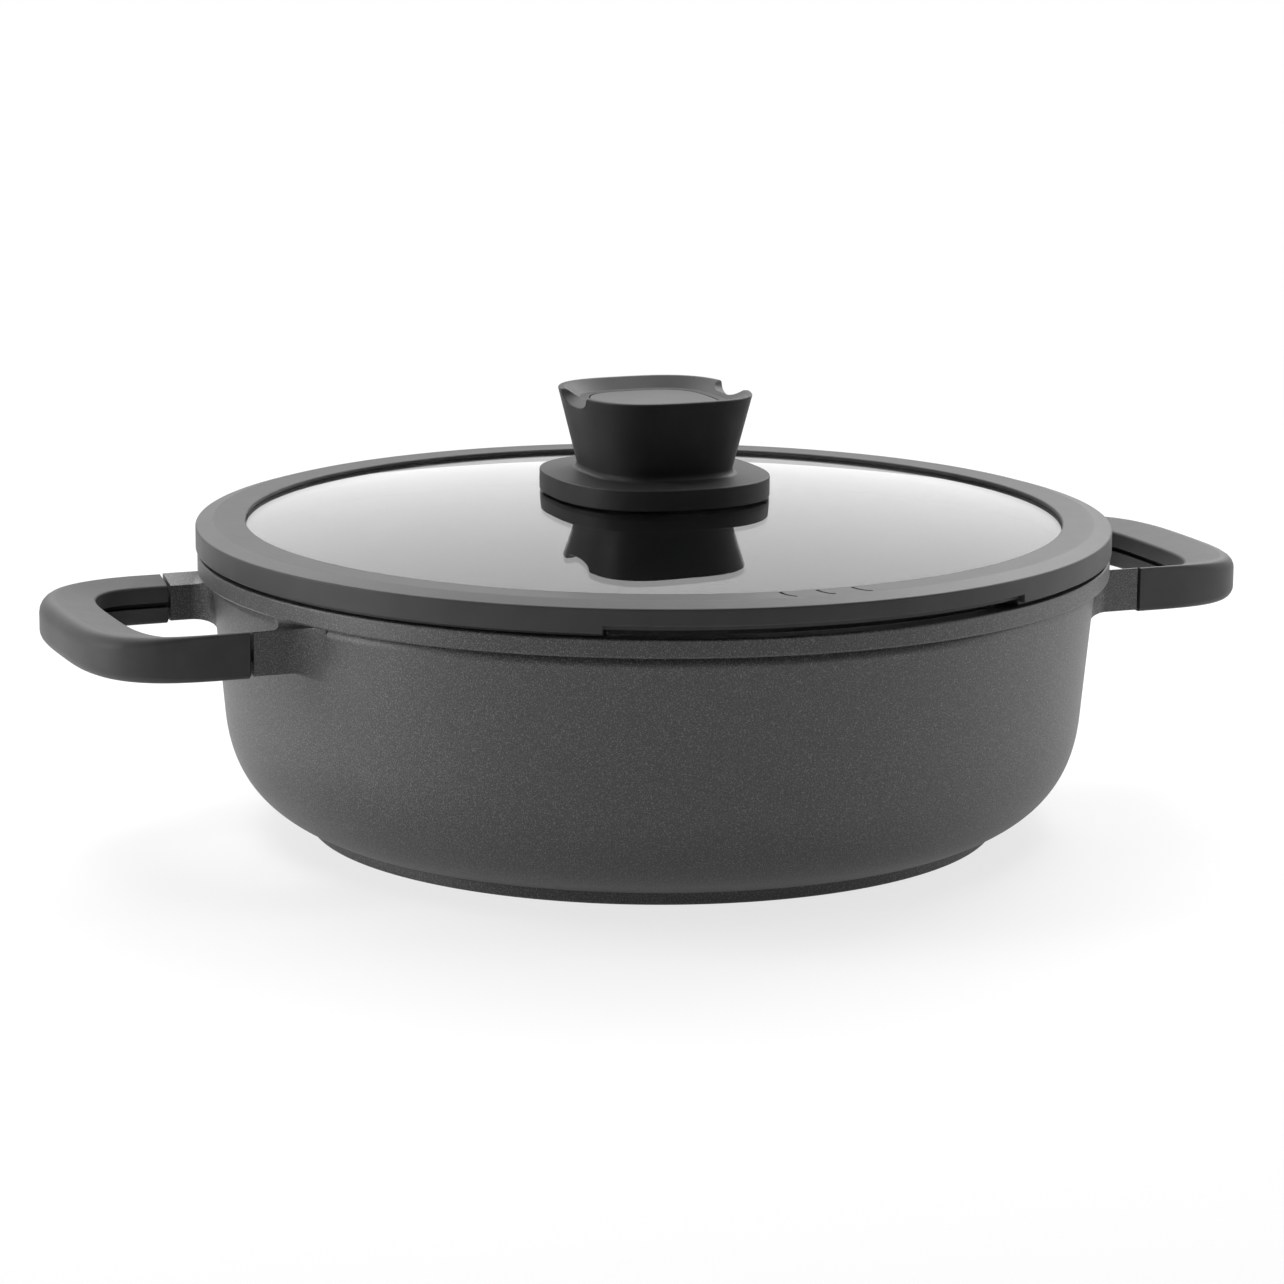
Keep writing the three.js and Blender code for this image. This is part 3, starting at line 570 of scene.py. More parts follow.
def make_grip(side, material):
    rings = swept(loop_stations(GRIP_START), grip_section)
    shrink = 1 - 2 * GRIP_END_ROUND / ARM_WIDTH
    ends = []
    for ring in (rings[0], rings[-1]):
        middle = ring.mean(axis=0)
        ends.append(middle + (ring - middle) * (1, shrink, shrink))
        ring[:, 0] += GRIP_END_ROUND
    points, faces = skin([ends[0]] + rings + [ends[1]])
    piece = mesh_object(f"{side}_grip_moulding", [(half_turned(points, side), faces)])
    settle(piece, material, "pan", f"{side}_grip")


def strap_section(width):
    near, far = STRAP_NEAR, STRAP_NEAR + STRAP_WIDTH
    return rounded([
        (near, SLIT_LEVEL - STRAP_RISE, STRAP_EDGE),
        (far, SLIT_LEVEL - STRAP_RISE, STRAP_EDGE),
        (far, SLIT_LEVEL + STRAP_RISE, STRAP_EDGE),
        (near, SLIT_LEVEL + STRAP_RISE, STRAP_EDGE),
    ], steps=2)


def make_strap(side, material):
    points, faces = skin(swept(loop_stations(STRAP_LOW[0]), strap_section))
    piece = mesh_object(f"{side}_strap", [(half_turned(points, side), faces)])
    shank = SCREW_RADIUS + FIT
    profile = [(FIT, LUG_BOTTOM), (shank, LUG_BOTTOM), (shank, HANDLE_TOP), (FIT, HANDLE_TOP)]
    holes = []
    for sign in (1, -1):
        hole_points, hole_faces = upright(profile, SCREW_REACH, sign * STRAP_MIDDLE)
        holes.append((half_turned(hole_points, side), hole_faces))
    carve(piece, "DIFFERENCE", holes)
    settle(piece, material, "pan", f"{side}_core")


def hexagon(radius, height, steps=PART_STEPS):
    """Ring of points on a hexagon."""
    sector = math.pi / 3
    angles = np.linspace(0, 2 * math.pi, steps, endpoint=False)
    reach = radius * math.cos(sector / 2) / np.cos(angles % sector - sector / 2)
    return np.stack([reach * np.cos(angles), reach * np.sin(angles), np.full(steps, height)], axis=1)


def socket_screw(low, radius, head_radius, head_height, length, socket_radius, socket_depth):
    """Rings of a socket-head screw that stands on its head."""
    edge = FIT
    socket = [hexagon(edge, low + socket_depth), hexagon(socket_radius, low + socket_depth),
              hexagon(socket_radius, low)]
    shank = turned([
        (head_radius - edge, low),
        (head_radius, low + edge),
        (head_radius, low + head_height - edge),
        (head_radius - edge, low + head_height),
        (radius, low + head_height),
        (radius, low + length - edge),
        (radius - edge, low + length),
        (edge, low + length),
    ], PART_STEPS)
    return skin(np.concatenate([np.array(socket), shank]))


def make_handle_screws(material):
    points, faces = socket_screw(
        LUG_BOTTOM, SCREW_RADIUS, SCREW_HEAD_RADIUS, SCREW_HEAD_HEIGHT, SCREW_LENGTH,
        SCREW_SOCKET_RADIUS, SCREW_SOCKET_DEPTH)
    for side, mirror in (("left", -1), ("right", 1)):
        for place, sign in (("front", -1), ("rear", 1)):
            offset = (mirror * SCREW_REACH, sign * STRAP_MIDDLE, 0)
            piece = mesh_object(f"{side}_{place}_socket_screw", [(points + offset, faces)])
            settle(piece, material, "pan", f"{side}_{place}_screw")


# Lid
def rim_profile(raised):
    """Section of the rim ring; the skirt is raised and the plug left out where the pan pours."""
    plug_outer = inside_radius(RIM_LOW[2]) - FIT
    plug_inner = plug_outer - RIM_PLUG_WIDTH
    skirt_inner = LID_RADIUS - SKIRT_WIDTH
    skirt_bottom = LID_SEAT + SKIRT_LIFT + (STRAINER_RAISE if raised else 0)
    seat = LID_SEAT + (STRAINER_GAP if raised else 0)
    plug_bottom = seat if raised else RIM_LOW[2]
    groove = GLASS_RADIUS + FIT
    lower_lip = glass_top(LIP_RADIUS) - GLASS_THICKNESS - FIT
    return rounded([
        (plug_inner, plug_bottom + PLUG_TAPER, 0),
        (plug_outer - PLUG_TAPER, plug_bottom, 0),
        (plug_outer, seat + SEAT_FALL * raised, 0),
        (skirt_inner, seat + 2 * SEAT_FALL * raised, 0),
        (skirt_inner, skirt_bottom, 0),
        (LID_RADIUS, skirt_bottom, SKIRT_ROUND),
        (LID_RADIUS, RIM_TOP - RIM_BEVEL_DROP, RIM_EDGE_ROUND),
        (LID_RADIUS - RIM_BEVEL_WIDTH, RIM_TOP, RIM_BEVEL_ROUND),
        (LIP_RADIUS, RIM_TOP, LIP_ROUND),
        (LIP_RADIUS, glass_top(LIP_RADIUS) + FIT / 2, 0),
        (groove, glass_top(groove) + FIT, 0),
        (groove, glass_top(groove) - GLASS_THICKNESS - FIT, 0),
        (LIP_RADIUS, lower_lip, 0),
        (LIP_RADIUS, lower_lip - LOWER_LIP, LOWER_LIP_ROUND),
    ])


def rim_columns():
    """(angle, raised) round the rim, with a pair of columns at each end of the raised stretch."""
    edges = [STRAINER_MIDDLE - STRAINER_HALF_ANGLE, STRAINER_MIDDLE + STRAINER_HALF_ANGLE]
    even = np.linspace(-math.pi, math.pi, ROUND_STEPS, endpoint=False)
    angles = [angle for angle in even if min(abs(angle - edge) for edge in edges) > 2 * STEP_ANGLE]
    angles += [edge + sign * STEP_ANGLE / 2 for edge in edges for sign in (1, -1)]
    return [(angle, abs(angle - STRAINER_MIDDLE) < STRAINER_HALF_ANGLE) for angle in sorted(angles)]


def mark_groove(offset):
    """Thin curved rod that cuts one hook-shaped mark into the top of the rim."""
    rings = []
    middle = STRAINER_MIDDLE + offset
    for step in range(CURVE_STEPS + 1):
        turn = math.pi / 2 * step / CURVE_STEPS
        radius = MARK_INNER_RADIUS + MARK_LENGTH * math.sin(turn)
        across = MARK_WIDTH * (0.5 - math.cos(turn))
        angle = middle + across / radius
        heading = np.array((MARK_LENGTH * math.cos(turn), MARK_WIDTH * math.sin(turn)))
        heading /= np.linalg.norm(heading)
        radial = np.array((math.cos(angle), math.sin(angle)))
        around = np.array((-radial[1], radial[0]))
        normal = around * heading[0] - radial * heading[1]
        ring = []
        for side in range(MARK_SIDES):
            spin = 2 * math.pi * side / MARK_SIDES
            flat = radial * radius + normal * MARK_HALF_WIDTH * math.cos(spin)
            ring.append((flat[0], flat[1], RIM_TOP + MARK_DEPTH * math.sin(spin)))
        rings.append(ring)
    return skin(rings)


def make_rim(material):
    rings = []
    for angle, raised in rim_columns():
        profile = rim_profile(raised)
        rings.append(np.stack([profile[:, 0] * math.cos(angle), profile[:, 0] * math.sin(angle),
                               profile[:, 1]], axis=1))
    piece = mesh_object("strainer_rim", [skin(rings, closed=True)])
    carve(piece, "DIFFERENCE", [mark_groove(offset * MARK_SPACING) for offset in (-1, 0, 1)])
    settle(piece, material, "lid", "lid_rim")


def make_glass(material):
    radii = np.linspace(GLASS_HOLE_RADIUS, GLASS_RADIUS - GLASS_EDGE, 2 * CURVE_STEPS)
    top = [(radius, glass_top(radius)) for radius in radii]
    edge = GLASS_RADIUS
    rim_edge = rounded([
        (radii[-1], glass_top(radii[-1]), 0),
        (edge, glass_top(edge), GLASS_EDGE),
        (edge, glass_top(edge) - GLASS_THICKNESS, GLASS_EDGE),
        (radii[-1], glass_top(radii[-1]) - GLASS_THICKNESS, 0),
    ])[1:-1]
    bottom = [(radius, height - GLASS_THICKNESS) for radius, height in top[::-1]]
    rings = turned(np.concatenate([top, rim_edge, bottom]))
    piece = mesh_object("domed_glass", [skin(rings, closed=True)])
    settle(piece, material, "lid", "lid_glass")


# Knob
def square_directions(squareness=KNOB_SQUARENESS):
    power = 2 / squareness
    angles = np.linspace(0, 2 * math.pi, KNOB_STEPS, endpoint=False)
    x = np.sign(np.cos(angles)) * np.abs(np.cos(angles)) ** power
    y = np.sign(np.sin(angles)) * np.abs(np.sin(angles)) ** power
    return x, y * KNOB_LENGTHENING


def square_ring(halves, heights, squareness=KNOB_SQUARENESS):
    """Ring of a rounded square; halves and heights may differ from column to column."""
    x, y = square_directions(squareness)
    return np.stack([x * halves, y * halves, np.broadcast_to(heights, KNOB_STEPS)], axis=1)


def notch_floor(x, y):
    """Height of the two spoon notches, which slope down outwards."""
    fall = math.tan(NOTCH_TILT) * (np.abs(x) - KNOB_TOP_HALF_WIDTH)
    share = np.minimum(np.abs(y) / NOTCH_HALF_WIDTH, 1)
    depth = NOTCH_DEPTH * (1 - share ** NOTCH_SQUARENESS) ** (1 / NOTCH_SQUARENESS)
    return KNOB_TOP - np.where(share < 1, depth + fall, -NOTCH_DEPTH)


def lowered(half_at):
    """Height of an edge of the knob's rim in each column, dipping into the notches."""
    x, y = square_directions()
    height = np.full(KNOB_STEPS, KNOB_TOP)
    for _ in range(NOTCH_PASSES):
        half = half_at(height)
        gap = notch_floor(x * half, y * half) - KNOB_TOP
        soft = 0.5 * (gap - np.sqrt(gap ** 2 + NOTCH_ROUND ** 2))
        soft += NOTCH_ROUND / 2 * (gap < -NOTCH_ROUND)
        height = 0.5 * height + 0.5 * (KNOB_TOP + np.minimum(soft, 0))
    return height


def side_half(height):
    share = (height - CROWN_TOP) / (KNOB_TOP - CROWN_TOP)
    return WAIST_HALF_WIDTH + share * (KNOB_TOP_HALF_WIDTH - WAIST_HALF_WIDTH)


def dish_half(height):
    return DISH_FLOOR_HALF_WIDTH + (height - DISH_FLOOR) * DISH_SLOPE / DISH_DEPTH


def make_knob(material):
    outer = lowered(side_half)
    inner = np.maximum(lowered(dish_half), DISH_FLOOR + 2 * KNOB_RIM_ROUND)
    pocket_half = CAP_HIGH[0] + FIT
    pocket_floor = CAP_LOW[2] - FIT
    profiles = []
    for outer_height, inner_height in zip(outer, inner):
        profiles.append(rounded([
            (INSERT_RADIUS + FIT, INSERT_LOW[2], 0),
            (FLANGE_HALF_WIDTH - FLANGE_RIM, INSERT_LOW[2], 0),
            (FLANGE_HALF_WIDTH - FLANGE_RIM, FLANGE_BOTTOM, 0),
            (FLANGE_HALF_WIDTH, FLANGE_BOTTOM, FLANGE_ROUND),
            (FLANGE_HALF_WIDTH, FLANGE_TOP, FLANGE_ROUND),
            (WAIST_HALF_WIDTH, CROWN_TOP, WAIST_FILLET),
            (side_half(outer_height), outer_height, KNOB_RIM_ROUND),
            (dish_half(inner_height), inner_height, KNOB_RIM_ROUND),
            (DISH_FLOOR_HALF_WIDTH, DISH_FLOOR, DISH_ROUND / 2),
            (pocket_half, DISH_FLOOR, FIT / 2),
            (pocket_half, pocket_floor, 0),
            (INSERT_RADIUS, pocket_floor, 0),
        ]))
    profiles = np.array(profiles)
    plain_corners, rounded_corners = 3, 2
    flange_levels = plain_corners + rounded_corners * (ARC_STEPS + 1)
    rings = []
    for level in range(profiles.shape[1]):
        squareness = FLANGE_SQUARENESS if level < flange_levels else KNOB_SQUARENESS
        rings.append(square_ring(profiles[:, level, 0], profiles[:, level, 1], squareness))
    piece = mesh_object("knob_moulding", [skin(rings)])
    bore = [(FIT, INSERT_LOW[2] - FIT), (INSERT_RADIUS + FIT, INSERT_LOW[2] - FIT),
            (INSERT_RADIUS + FIT, INSERT_HIGH[2] + FIT), (FIT, INSERT_HIGH[2] + FIT)]
    carve(piece, "DIFFERENCE", [upright(bore, 0, 0)])
    settle(piece, material, "lid", "knob")


def make_cap(material):
    half = CAP_HIGH[0]
    profile = rounded([
        (FIT, CAP_LOW[2], 0),
        (half, CAP_LOW[2], CAP_EDGE),
        (half, CAP_HIGH[2], CAP_EDGE),
        (FIT, CAP_HIGH[2], 0),
    ])
    piece = mesh_object("knob_disc", [skin([square_ring(r, z) for r, z in profile])])
    settle(piece, material, "lid", "knob_cap")


def make_clamp(materials):
    """Rings and screw that hold the knob to the glass."""
    for name, node, inner, edge, slot in (
        ("threaded_insert", "knob_insert", CLAMP_BORE, INSERT_EDGE, "insert_brass"),
        ("flange_gasket", "knob_gasket", GASKET_BORE, GASKET_EDGE, "gasket_silicone"),
        ("clamp_gasket", "lower_gasket", CLAMP_BORE, GASKET_EDGE, "gasket_silicone"),
        # Painted shade: the washer takes the dark steel of the straps, so it stays dark through the
        # glass instead of showing as bright metal.
        ("clamp_washer", "knob_washer", CLAMP_BORE, WASHER_EDGE, "strap_steel"),
    ):
        low, high = box_mm(node)
        profile = rounded([
            (inner, low[2], edge),
            (high[0], low[2], edge),
            (high[0], high[2], edge),
            (inner, high[2], edge),
        ], steps=3)
        piece = mesh_object(name, [skin(turned(profile), closed=True)])
        settle(piece, materials[slot], "lid", node)
    low, high = box_mm("knob_screw")
    screw = socket_screw(
        low[2], CLAMP_SCREW_RADIUS, high[0], CLAMP_HEAD_HEIGHT, high[2] - low[2],
        CLAMP_SOCKET_RADIUS, CLAMP_SOCKET_DEPTH)
    piece = mesh_object("clamp_screw", [screw])
    # Painted shade: the clamp screw also takes the dark steel, so it stays dark through the glass.
    settle(piece, materials["strap_steel"], "lid", "knob_screw")


# Tones of the materials, their specular levels, and the size of grain in millimetres
COOL_TINT = 1.02
COATING_SPECULAR = 0.9
SPECKLE_GRAIN = 0.36
MOTTLE_GRAIN = 14
INSIDE_TONE = 0.007
INSIDE_SPECULAR = 0.35
INSIDE_GRAIN = 1.5
GRIP_TONE = 0.052
KNOB_TONE = 0.027
KNOB_SPECULAR = 0.2
KNOB_DISC_TONE = 0.062
KNOB_DISC_GRAIN = 0.25
RIM_TONE = 0.057
GASKET_TONE = 0.012
SILICONE_SPECULAR = 0.2
SILICONE_GRAIN = 0.3
GLASS_TINT = (0.95, 0.965, 0.96)
GLASS_IOR = 1.55
SCREW_TONE = 0.55
SCREW_ROUGHNESS = 0.3
STRAP_TONE = 0.03
STRAP_ROUGHNESS = 0.5
DISC_TONE = 0.5
DISC_ROUGHNESS = 0.32
BRASS_COLOR = (0.6, 0.42, 0.16)


# Materials
class Paint:
    """A material with its shader and short ways to add nodes."""

    def __init__(self, name, color, roughness, **sockets):
        self.material = bpy.data.materials.new(name)
        self.material.use_nodes = True
        self.tree = self.material.node_tree
        self.shader = self.tree.nodes["Principled BSDF"]
        self.shader.inputs["Base Color"].default_value = (*color, 1)
        self.shader.inputs["Roughness"].default_value = roughness
        for socket, value in sockets.items():
            self.shader.inputs[socket.replace("_", " ")].default_value = value
        self.place = self.tree.nodes.new("ShaderNodeTexCoord").outputs["Object"]

    def link(self, output, target):
        self.tree.links.new(output, target)

    def noise(self, grain, detail=2.0, stretch=(1, 1, 1), place=None):
        """Noise whose blobs are about grain millimetres across."""
        mapping = self.tree.nodes.new("ShaderNodeMapping")
        mapping.inputs["Scale"].default_value = stretch
        self.link(place or self.place, mapping.inputs["Vector"])
        noise = self.tree.nodes.new("ShaderNodeTexNoise")
        noise.inputs["Scale"].default_value = 1 / (grain * MM)
        noise.inputs["Detail"].default_value = detail
        self.link(mapping.outputs["Vector"], noise.inputs["Vector"])
        return noise.outputs["Fac"]

    def ramp(self, source, stops):
        """Colour ramp of (position, colour) stops."""
        ramp = self.tree.nodes.new("ShaderNodeValToRGB")
        elements = ramp.color_ramp.elements
        while len(elements) < len(stops):
            elements.new(0.5)
        for element, (position, color) in zip(elements, stops):
            element.position = position
            element.color = (*color, 1)
        self.link(source, ramp.inputs["Fac"])
        return ramp.outputs["Color"]

    def mix(self, factor, first, second, blend="MIX"):
        node = self.tree.nodes.new("ShaderNodeMix")
        node.data_type = "RGBA"
        node.blend_type = blend
        sockets = (node.inputs[0], node.inputs[6], node.inputs[7])
        for value, socket in zip((factor, first, second), sockets):
            if isinstance(value, bpy.types.NodeSocket):
                self.link(value, socket)
            else:
                socket.default_value = value
        return node.outputs[2]

    def spread(self, source, low, high):
        """A source from 0 to 1 spread between two values."""
        node = self.tree.nodes.new("ShaderNodeMapRange")
        node.inputs["To Min"].default_value = low
        node.inputs["To Max"].default_value = high
        self.link(source, node.inputs["Value"])
        return node.outputs["Result"]

    def color(self, output):
        self.link(output, self.shader.inputs["Base Color"])

    def roughness(self, source, low, high):
        self.link(self.spread(source, low, high), self.shader.inputs["Roughness"])

    def bump(self, source, depth, strength=1.0):
        """Relief of about depth millimetres."""
        node = self.tree.nodes.new("ShaderNodeBump")
        node.inputs["Strength"].default_value = strength
        node.inputs["Distance"].default_value = depth * MM
        previous = self.shader.inputs["Normal"].links
        if previous:
            self.link(previous[0].from_socket, node.inputs["Normal"])
        self.link(source, node.inputs["Height"])
        self.link(node.outputs["Normal"], self.shader.inputs["Normal"])


def grey(value):
    return (value, value, value * COOL_TINT)


def coated_casting():
    """Sprayed non-stick coating: dark satin ground with fine pale flecks."""
    paint = Paint("coated_casting", grey(0.03), 0.48, Specular_IOR_Level=COATING_SPECULAR)
    grain = paint.noise(SPECKLE_GRAIN, detail=3)
    cloud = paint.noise(MOTTLE_GRAIN)
    flecks = paint.ramp(grain, [(0.37, grey(0.005)), (0.52, grey(0.019)), (0.65, grey(0.14))])
    mottle = paint.ramp(cloud, [(0.3, (0.9, 0.9, 0.9)), (0.7, (1, 1, 1))])
    paint.color(paint.mix(1.0, flecks, mottle, "MULTIPLY"))
    paint.roughness(grain, 0.4, 0.6)
    paint.bump(grain, 0.06, 0.5)
    return paint.material


def inside_coating():
    """Black non-stick coating of the cooking surface, with a faint orange-peel relief."""
    paint = Paint("inside_coating", grey(INSIDE_TONE), 0.4, Specular_IOR_Level=INSIDE_SPECULAR)
    grain = paint.noise(INSIDE_GRAIN, detail=3)
    paint.color(paint.ramp(grain, [(0.35, grey(0.005)), (0.65, grey(0.009))]))
    paint.roughness(grain, 0.34, 0.48)
    paint.bump(grain, 0.02, 0.3)
    return paint.material


def soft_touch(name, value, grain_size=0.35, specular=0.25):
    """Fine matt moulding, for the grips and the knob."""
    paint = Paint(name, grey(value), 0.5, Specular_IOR_Level=specular)
    grain = paint.noise(grain_size, detail=2)
    cloud = paint.noise(9)
    tint = paint.ramp(cloud, [(0.3, grey(value * 0.92)), (0.7, grey(value * 1.08))])
    paint.color(tint)
    paint.roughness(grain, 0.44, 0.6)
    paint.bump(grain, 0.03, 0.35)
    return paint.material


def silicone(name, value):
    paint = Paint(name, grey(value), 0.5, Specular_IOR_Level=SILICONE_SPECULAR)
    grain = paint.noise(SILICONE_GRAIN)
    cloud = paint.noise(12)
    paint.color(paint.ramp(cloud, [(0.3, grey(value * 0.94)), (0.7, grey(value * 1.06))]))
    paint.roughness(grain, 0.42, 0.56)
    paint.bump(grain, 0.025, 0.3)
    return paint.material


def clear_glass():
    paint = Paint("clear_glass", GLASS_TINT, 0.0, Transmission_Weight=1.0, IOR=GLASS_IOR)
    paint.roughness(paint.noise(30, detail=3), 0.0, 0.02)
    return paint.material


def bright_steel(name, value, roughness, ringed=False):
    """Machined steel, with rings about Z where it was turned."""
    paint = Paint(name, grey(value), roughness, Metallic=1.0)
    if ringed:
        flat = paint.tree.nodes.new("ShaderNodeVectorMath")
        flat.operation = "MULTIPLY"
        flat.inputs[1].default_value = (1, 1, 0)
        paint.link(paint.place, flat.inputs[0])
        radius = paint.tree.nodes.new("ShaderNodeVectorMath")
        radius.operation = "LENGTH"
        paint.link(flat.outputs["Vector"], radius.inputs[0])
        lines = paint.noise(0.5, place=radius.outputs["Value"])
    else:
        lines = paint.noise(0.4, stretch=(1, 1, 0.1))
    paint.color(paint.ramp(lines, [(0.35, grey(value * 0.85)), (0.65, grey(value * 1.1))]))
    paint.roughness(lines, roughness * 0.8, roughness * 1.3)
    paint.bump(lines, 0.02, 0.3)
    return paint.material


def brass():
    paint = Paint("turned_brass", BRASS_COLOR, 0.35, Metallic=1.0)
    lines = paint.noise(0.4, stretch=(0.1, 0.1, 1))
    paint.color(paint.ramp(lines, [(0.35, (0.5, 0.34, 0.12)), (0.65, (0.66, 0.48, 0.2))]))
    paint.roughness(lines, 0.28, 0.45)
    return paint.material


def build_object():
    screw_steel = bright_steel("screw_steel", SCREW_TONE, SCREW_ROUGHNESS)
    grip = soft_touch("grip_moulding", GRIP_TONE)
    # Dark steel of the straps; on the clamp washer and screw the same dark is painted shade.
    dark_strap_and_shade_steel = bright_steel("blackened_steel_and_painted_shade", STRAP_TONE, STRAP_ROUGHNESS)
    make_casting(coated_casting(), inside_coating())
    make_disc(bright_steel("turned_steel", DISC_TONE, DISC_ROUGHNESS, ringed=True))
    for side in ("left", "right"):
        make_grip(side, grip)
        make_strap(side, dark_strap_and_shade_steel)
    make_handle_screws(screw_steel)
    make_rim(silicone("rim_silicone", RIM_TONE))
    make_glass(clear_glass())
    make_knob(soft_touch("knob_moulding", KNOB_TONE, specular=KNOB_SPECULAR))
    make_cap(soft_touch("knob_disc", KNOB_DISC_TONE, KNOB_DISC_GRAIN))
    make_clamp({
        "insert_brass": brass(),
        "gasket_silicone": silicone("black_silicone", GASKET_TONE),
        "strap_steel": dark_strap_and_shade_steel,
    })


# Stage
TARGET = Vector((0, 0, 0.055))
CAMERA_DISTANCE_M = 1.4625
CAMERA_ELEVATION = math.radians(11.884)
CAMERA_AZIMUTH = math.radians(-22.036)
CAMERA_ROLL = math.radians(0.416)
LENS_MM = 129.66
SENSOR_MM = 36
FRAME_PIXELS = 1284
TARGET_PIXEL = (652.9, 647.7)

# Light of the room: bright towards the backdrop, dim behind the camera
BACKDROP_AZIMUTH = math.radians(153)
BACKDROP_ELEVATION = math.radians(5)
BACKDROP_START = 0.3
BACKDROP_FULL = 1.0
ROOM_LIGHT = 0.01
BACKDROP_LIGHT = 1.36
BACKDROP_MIRRORED = 0.3
FLOOR_HALF_M = 20
FLOOR_DROP_M = 0.0002
FLOOR_WHITE = 0.75
FLOOR_MIRRORED = 0.46
FLOOR_FADE_M = (0.35, 1.1)
FLOOR_COLOR = (0.93, 0.93, 0.93)
FLOOR_ROUGHNESS = 0.9
WHITE = (1, 1, 1, 1)

# Lamps: azimuth and elevation in degrees, distance and size in metres, power in watts
SOFTBOXES = {
    "overhead_softbox": (160, 65, 1.4, 1.2, 11.5),
    "right_back_softbox": (125, 40, 1.0, 0.6, 6.2),
    "left_back_softbox": (190, 38, 1.2, 0.5, 3.0),
    "right_softbox": (75, 15, 0.8, 0.4, 1.3),
    "left_softbox": (-110, 22, 0.7, 0.4, 1.0),
    "low_left_softbox": (-96, 8, 0.8, 0.25, 1.7),
}
# Lamps that hang over the floor: place in metres, power in watts
FLOOR_LIGHTS = {
    "left_floor_light": ((-0.3, 0.04, 0.5), 1.0),
    "right_floor_light": ((0.24, -0.12, 0.5), 0.5),
}
FLOOR_LIGHT_SIZE_M = 0.2


def direction(azimuth, elevation):
    flat = math.cos(elevation)
    return Vector((math.sin(azimuth) * flat, -math.cos(azimuth) * flat, math.sin(elevation)))


def make_camera():
    """Camera aimed at the object, with the small shift that puts it where the photo's frame has it."""
    back = direction(CAMERA_AZIMUTH, CAMERA_ELEVATION)
    right = Vector((math.cos(CAMERA_AZIMUTH), math.sin(CAMERA_AZIMUTH), 0))
    aim = Matrix((right, back.cross(right), back)).transposed()
    aim = aim @ Matrix.Rotation(CAMERA_ROLL, 3, "Z")
    data = bpy.data.cameras.new("camera")
    data.sensor_width = SENSOR_MM
    data.lens = LENS_MM
    data.shift_x = 0.5 - TARGET_PIXEL[0] / FRAME_PIXELS
    data.shift_y = TARGET_PIXEL[1] / FRAME_PIXELS - 0.5
    camera = bpy.data.objects.new("camera", data)
    bpy.context.scene.collection.objects.link(camera)
    camera.matrix_world = Matrix.Translation(TARGET + back * CAMERA_DISTANCE_M) @ aim.to_4x4()
    bpy.context.scene.camera = camera


def maths(tree, operation, first, second):
    node = tree.nodes.new("ShaderNodeMath")
    node.operation = operation
    for value, socket in zip((first, second), node.inputs):
        if isinstance(value, bpy.types.NodeSocket):
            tree.links.new(value, socket)
        else:
            socket.default_value = value
    return node.outputs["Value"]


def eased_range(tree, source, start, full, low=0.0, high=1.0):
    node = tree.nodes.new("ShaderNodeMapRange")
    node.interpolation_type = "SMOOTHSTEP"
    ends = {"From Min": start, "From Max": full, "To Min": low, "To Max": high}
    for name, value in ends.items():
        node.inputs[name].default_value = value
    tree.links.new(source, node.inputs["Value"])
    return node.outputs["Result"]


def make_world():
    """White background in a room that is bright at the backdrop and dim behind the camera."""
    world = bpy.data.worlds.new("studio")
    bpy.context.scene.world = world
    world.use_nodes = True
    tree = world.node_tree
    toward = tree.nodes.new("ShaderNodeVectorMath")
    toward.operation = "DOT_PRODUCT"
    toward.inputs[1].default_value = direction(BACKDROP_AZIMUTH, BACKDROP_ELEVATION)
    tree.links.new(tree.nodes.new("ShaderNodeTexCoord").outputs["Generated"], toward.inputs[0])
    backdrop = eased_range(tree, toward.outputs["Value"], BACKDROP_START, BACKDROP_FULL)
    room = tree.nodes["Background"]
    room.inputs["Color"].default_value = WHITE
    strength = eased_range(tree, backdrop, 0, 1, ROOM_LIGHT, BACKDROP_LIGHT)
    tree.links.new(strength, room.inputs["Strength"])
    white = tree.nodes.new("ShaderNodeBackground")
    white.inputs["Color"].default_value = WHITE
    path = tree.nodes.new("ShaderNodeLightPath")
    seen = maths(tree, "MAXIMUM", path.outputs["Is Camera Ray"], path.outputs["Is Transmission Ray"])
    mirrored = maths(tree, "MULTIPLY", path.outputs["Is Glossy Ray"], BACKDROP_MIRRORED)
    mirrored = maths(tree, "MULTIPLY", mirrored, backdrop)
    choose = tree.nodes.new("ShaderNodeMixShader")
    tree.links.new(maths(tree, "MAXIMUM", seen, mirrored), choose.inputs["Fac"])
    tree.links.new(room.outputs["Background"], choose.inputs[1])
    tree.links.new(white.outputs["Background"], choose.inputs[2])
    tree.links.new(choose.outputs["Shader"], tree.nodes["World Output"].inputs["Surface"])


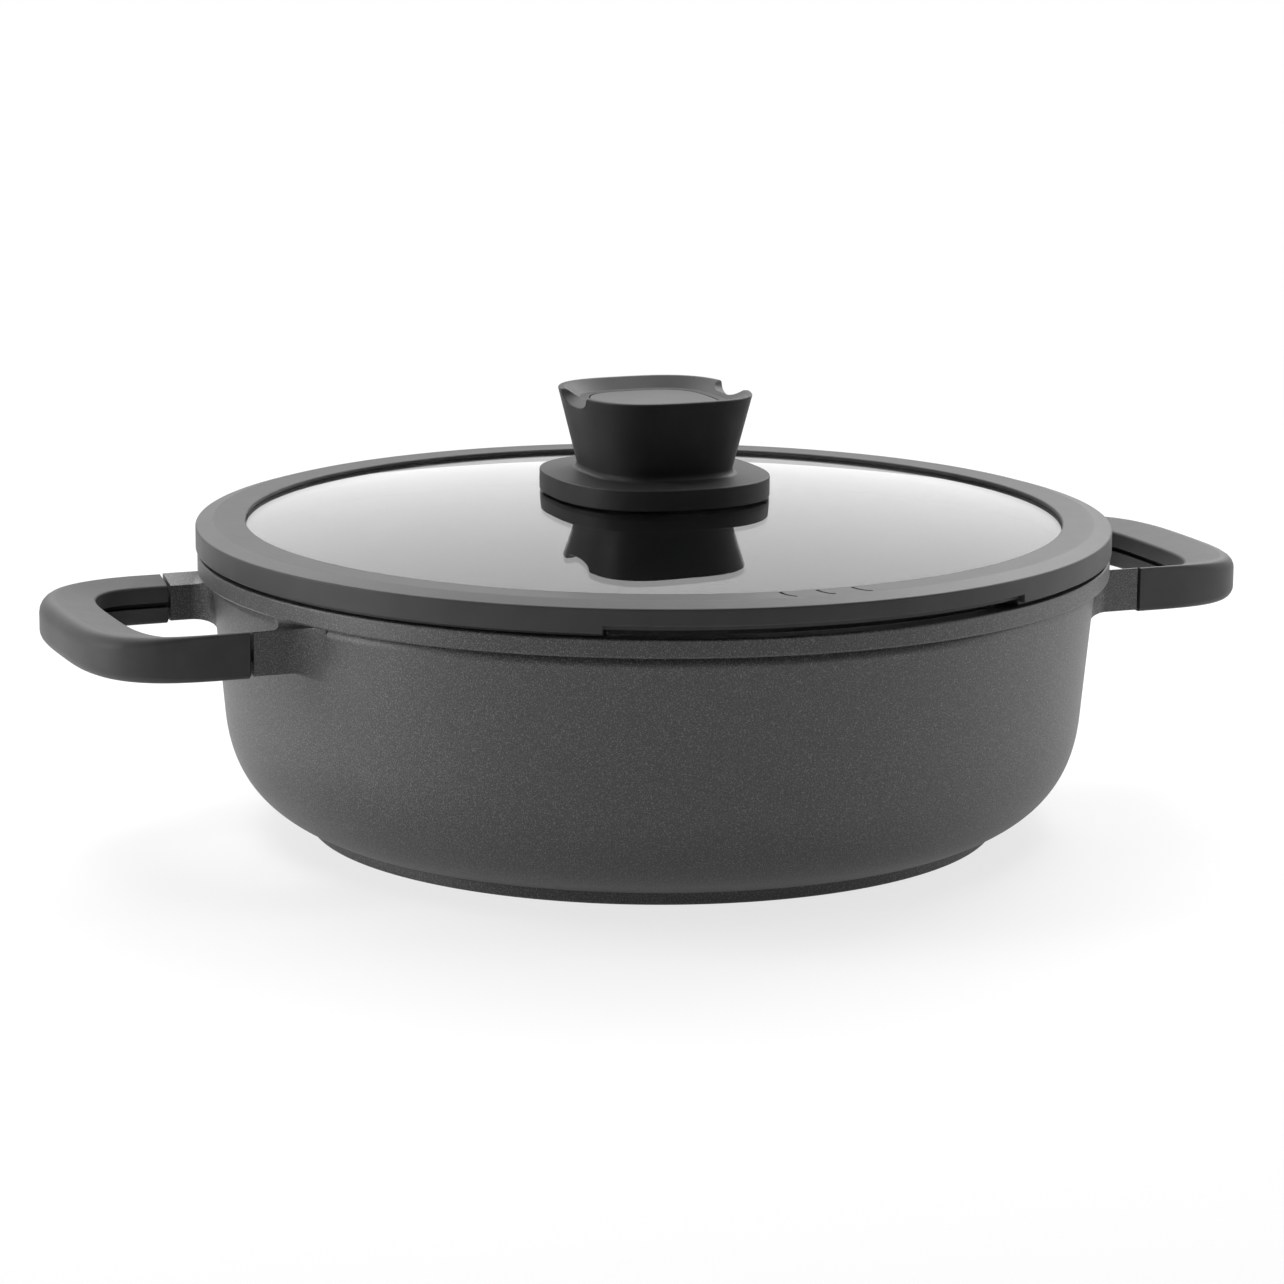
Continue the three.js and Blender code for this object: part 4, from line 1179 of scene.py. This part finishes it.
def make_floor():
    """White floor that takes the shadow near the object and fades into the background."""
    half = FLOOR_HALF_M
    corners = [(-half, -half, 0), (half, -half, 0), (half, half, 0), (-half, half, 0)]
    mesh = bpy.data.meshes.new("floor")
    mesh.from_pydata(corners, [], [(0, 1, 2, 3)])
    floor = bpy.data.objects.new("floor", mesh)
    floor.location.z = -FLOOR_DROP_M
    bpy.context.scene.collection.objects.link(floor)
    paint = Paint("floor", FLOOR_COLOR, FLOOR_ROUGHNESS, Specular_IOR_Level=0.0)
    tree = paint.tree
    distance = tree.nodes.new("ShaderNodeVectorMath")
    distance.operation = "LENGTH"
    paint.link(paint.place, distance.inputs[0])
    white_share = eased_range(tree, distance.outputs["Value"], *FLOOR_FADE_M, FLOOR_WHITE, 1)
    path = tree.nodes.new("ShaderNodeLightPath")
    seen = maths(tree, "MAXIMUM", path.outputs["Is Camera Ray"], path.outputs["Is Transmission Ray"])
    shown = maths(tree, "MULTIPLY", white_share, seen)
    mirrored = maths(tree, "MULTIPLY", path.outputs["Is Glossy Ray"], FLOOR_MIRRORED)
    white = tree.nodes.new("ShaderNodeEmission")
    white.inputs["Color"].default_value = WHITE
    choose = tree.nodes.new("ShaderNodeMixShader")
    paint.link(maths(tree, "MAXIMUM", shown, mirrored), choose.inputs["Fac"])
    paint.link(paint.shader.outputs["BSDF"], choose.inputs[1])
    paint.link(white.outputs["Emission"], choose.inputs[2])
    paint.link(choose.outputs["Shader"], tree.nodes["Material Output"].inputs["Surface"])
    mesh.materials.append(paint.material)


def make_softbox(name, place, aim, size, power):
    """Square area lamp at a place, facing another; metres and watts."""
    data = bpy.data.lights.new(name, "AREA")
    data.size = size
    data.energy = power
    lamp = bpy.data.objects.new(name, data)
    bpy.context.scene.collection.objects.link(lamp)
    lamp.location = place
    lamp.rotation_euler = (place - aim).to_track_quat("Z", "Y").to_euler()


def make_lights():
    for name, (azimuth, elevation, distance, size, power) in SOFTBOXES.items():
        place = TARGET + direction(math.radians(azimuth), math.radians(elevation)) * distance
        make_softbox(name, place, TARGET, size, power)
    for name, (place, power) in FLOOR_LIGHTS.items():
        place = Vector(place)
        make_softbox(name, place, place * Vector((1, 1, 0)), FLOOR_LIGHT_SIZE_M, power)


def make_stage():
    make_camera()
    make_world()
    make_floor()
    make_lights()
    bpy.context.scene.view_settings.view_transform = "Standard"


build_object()
make_stage()
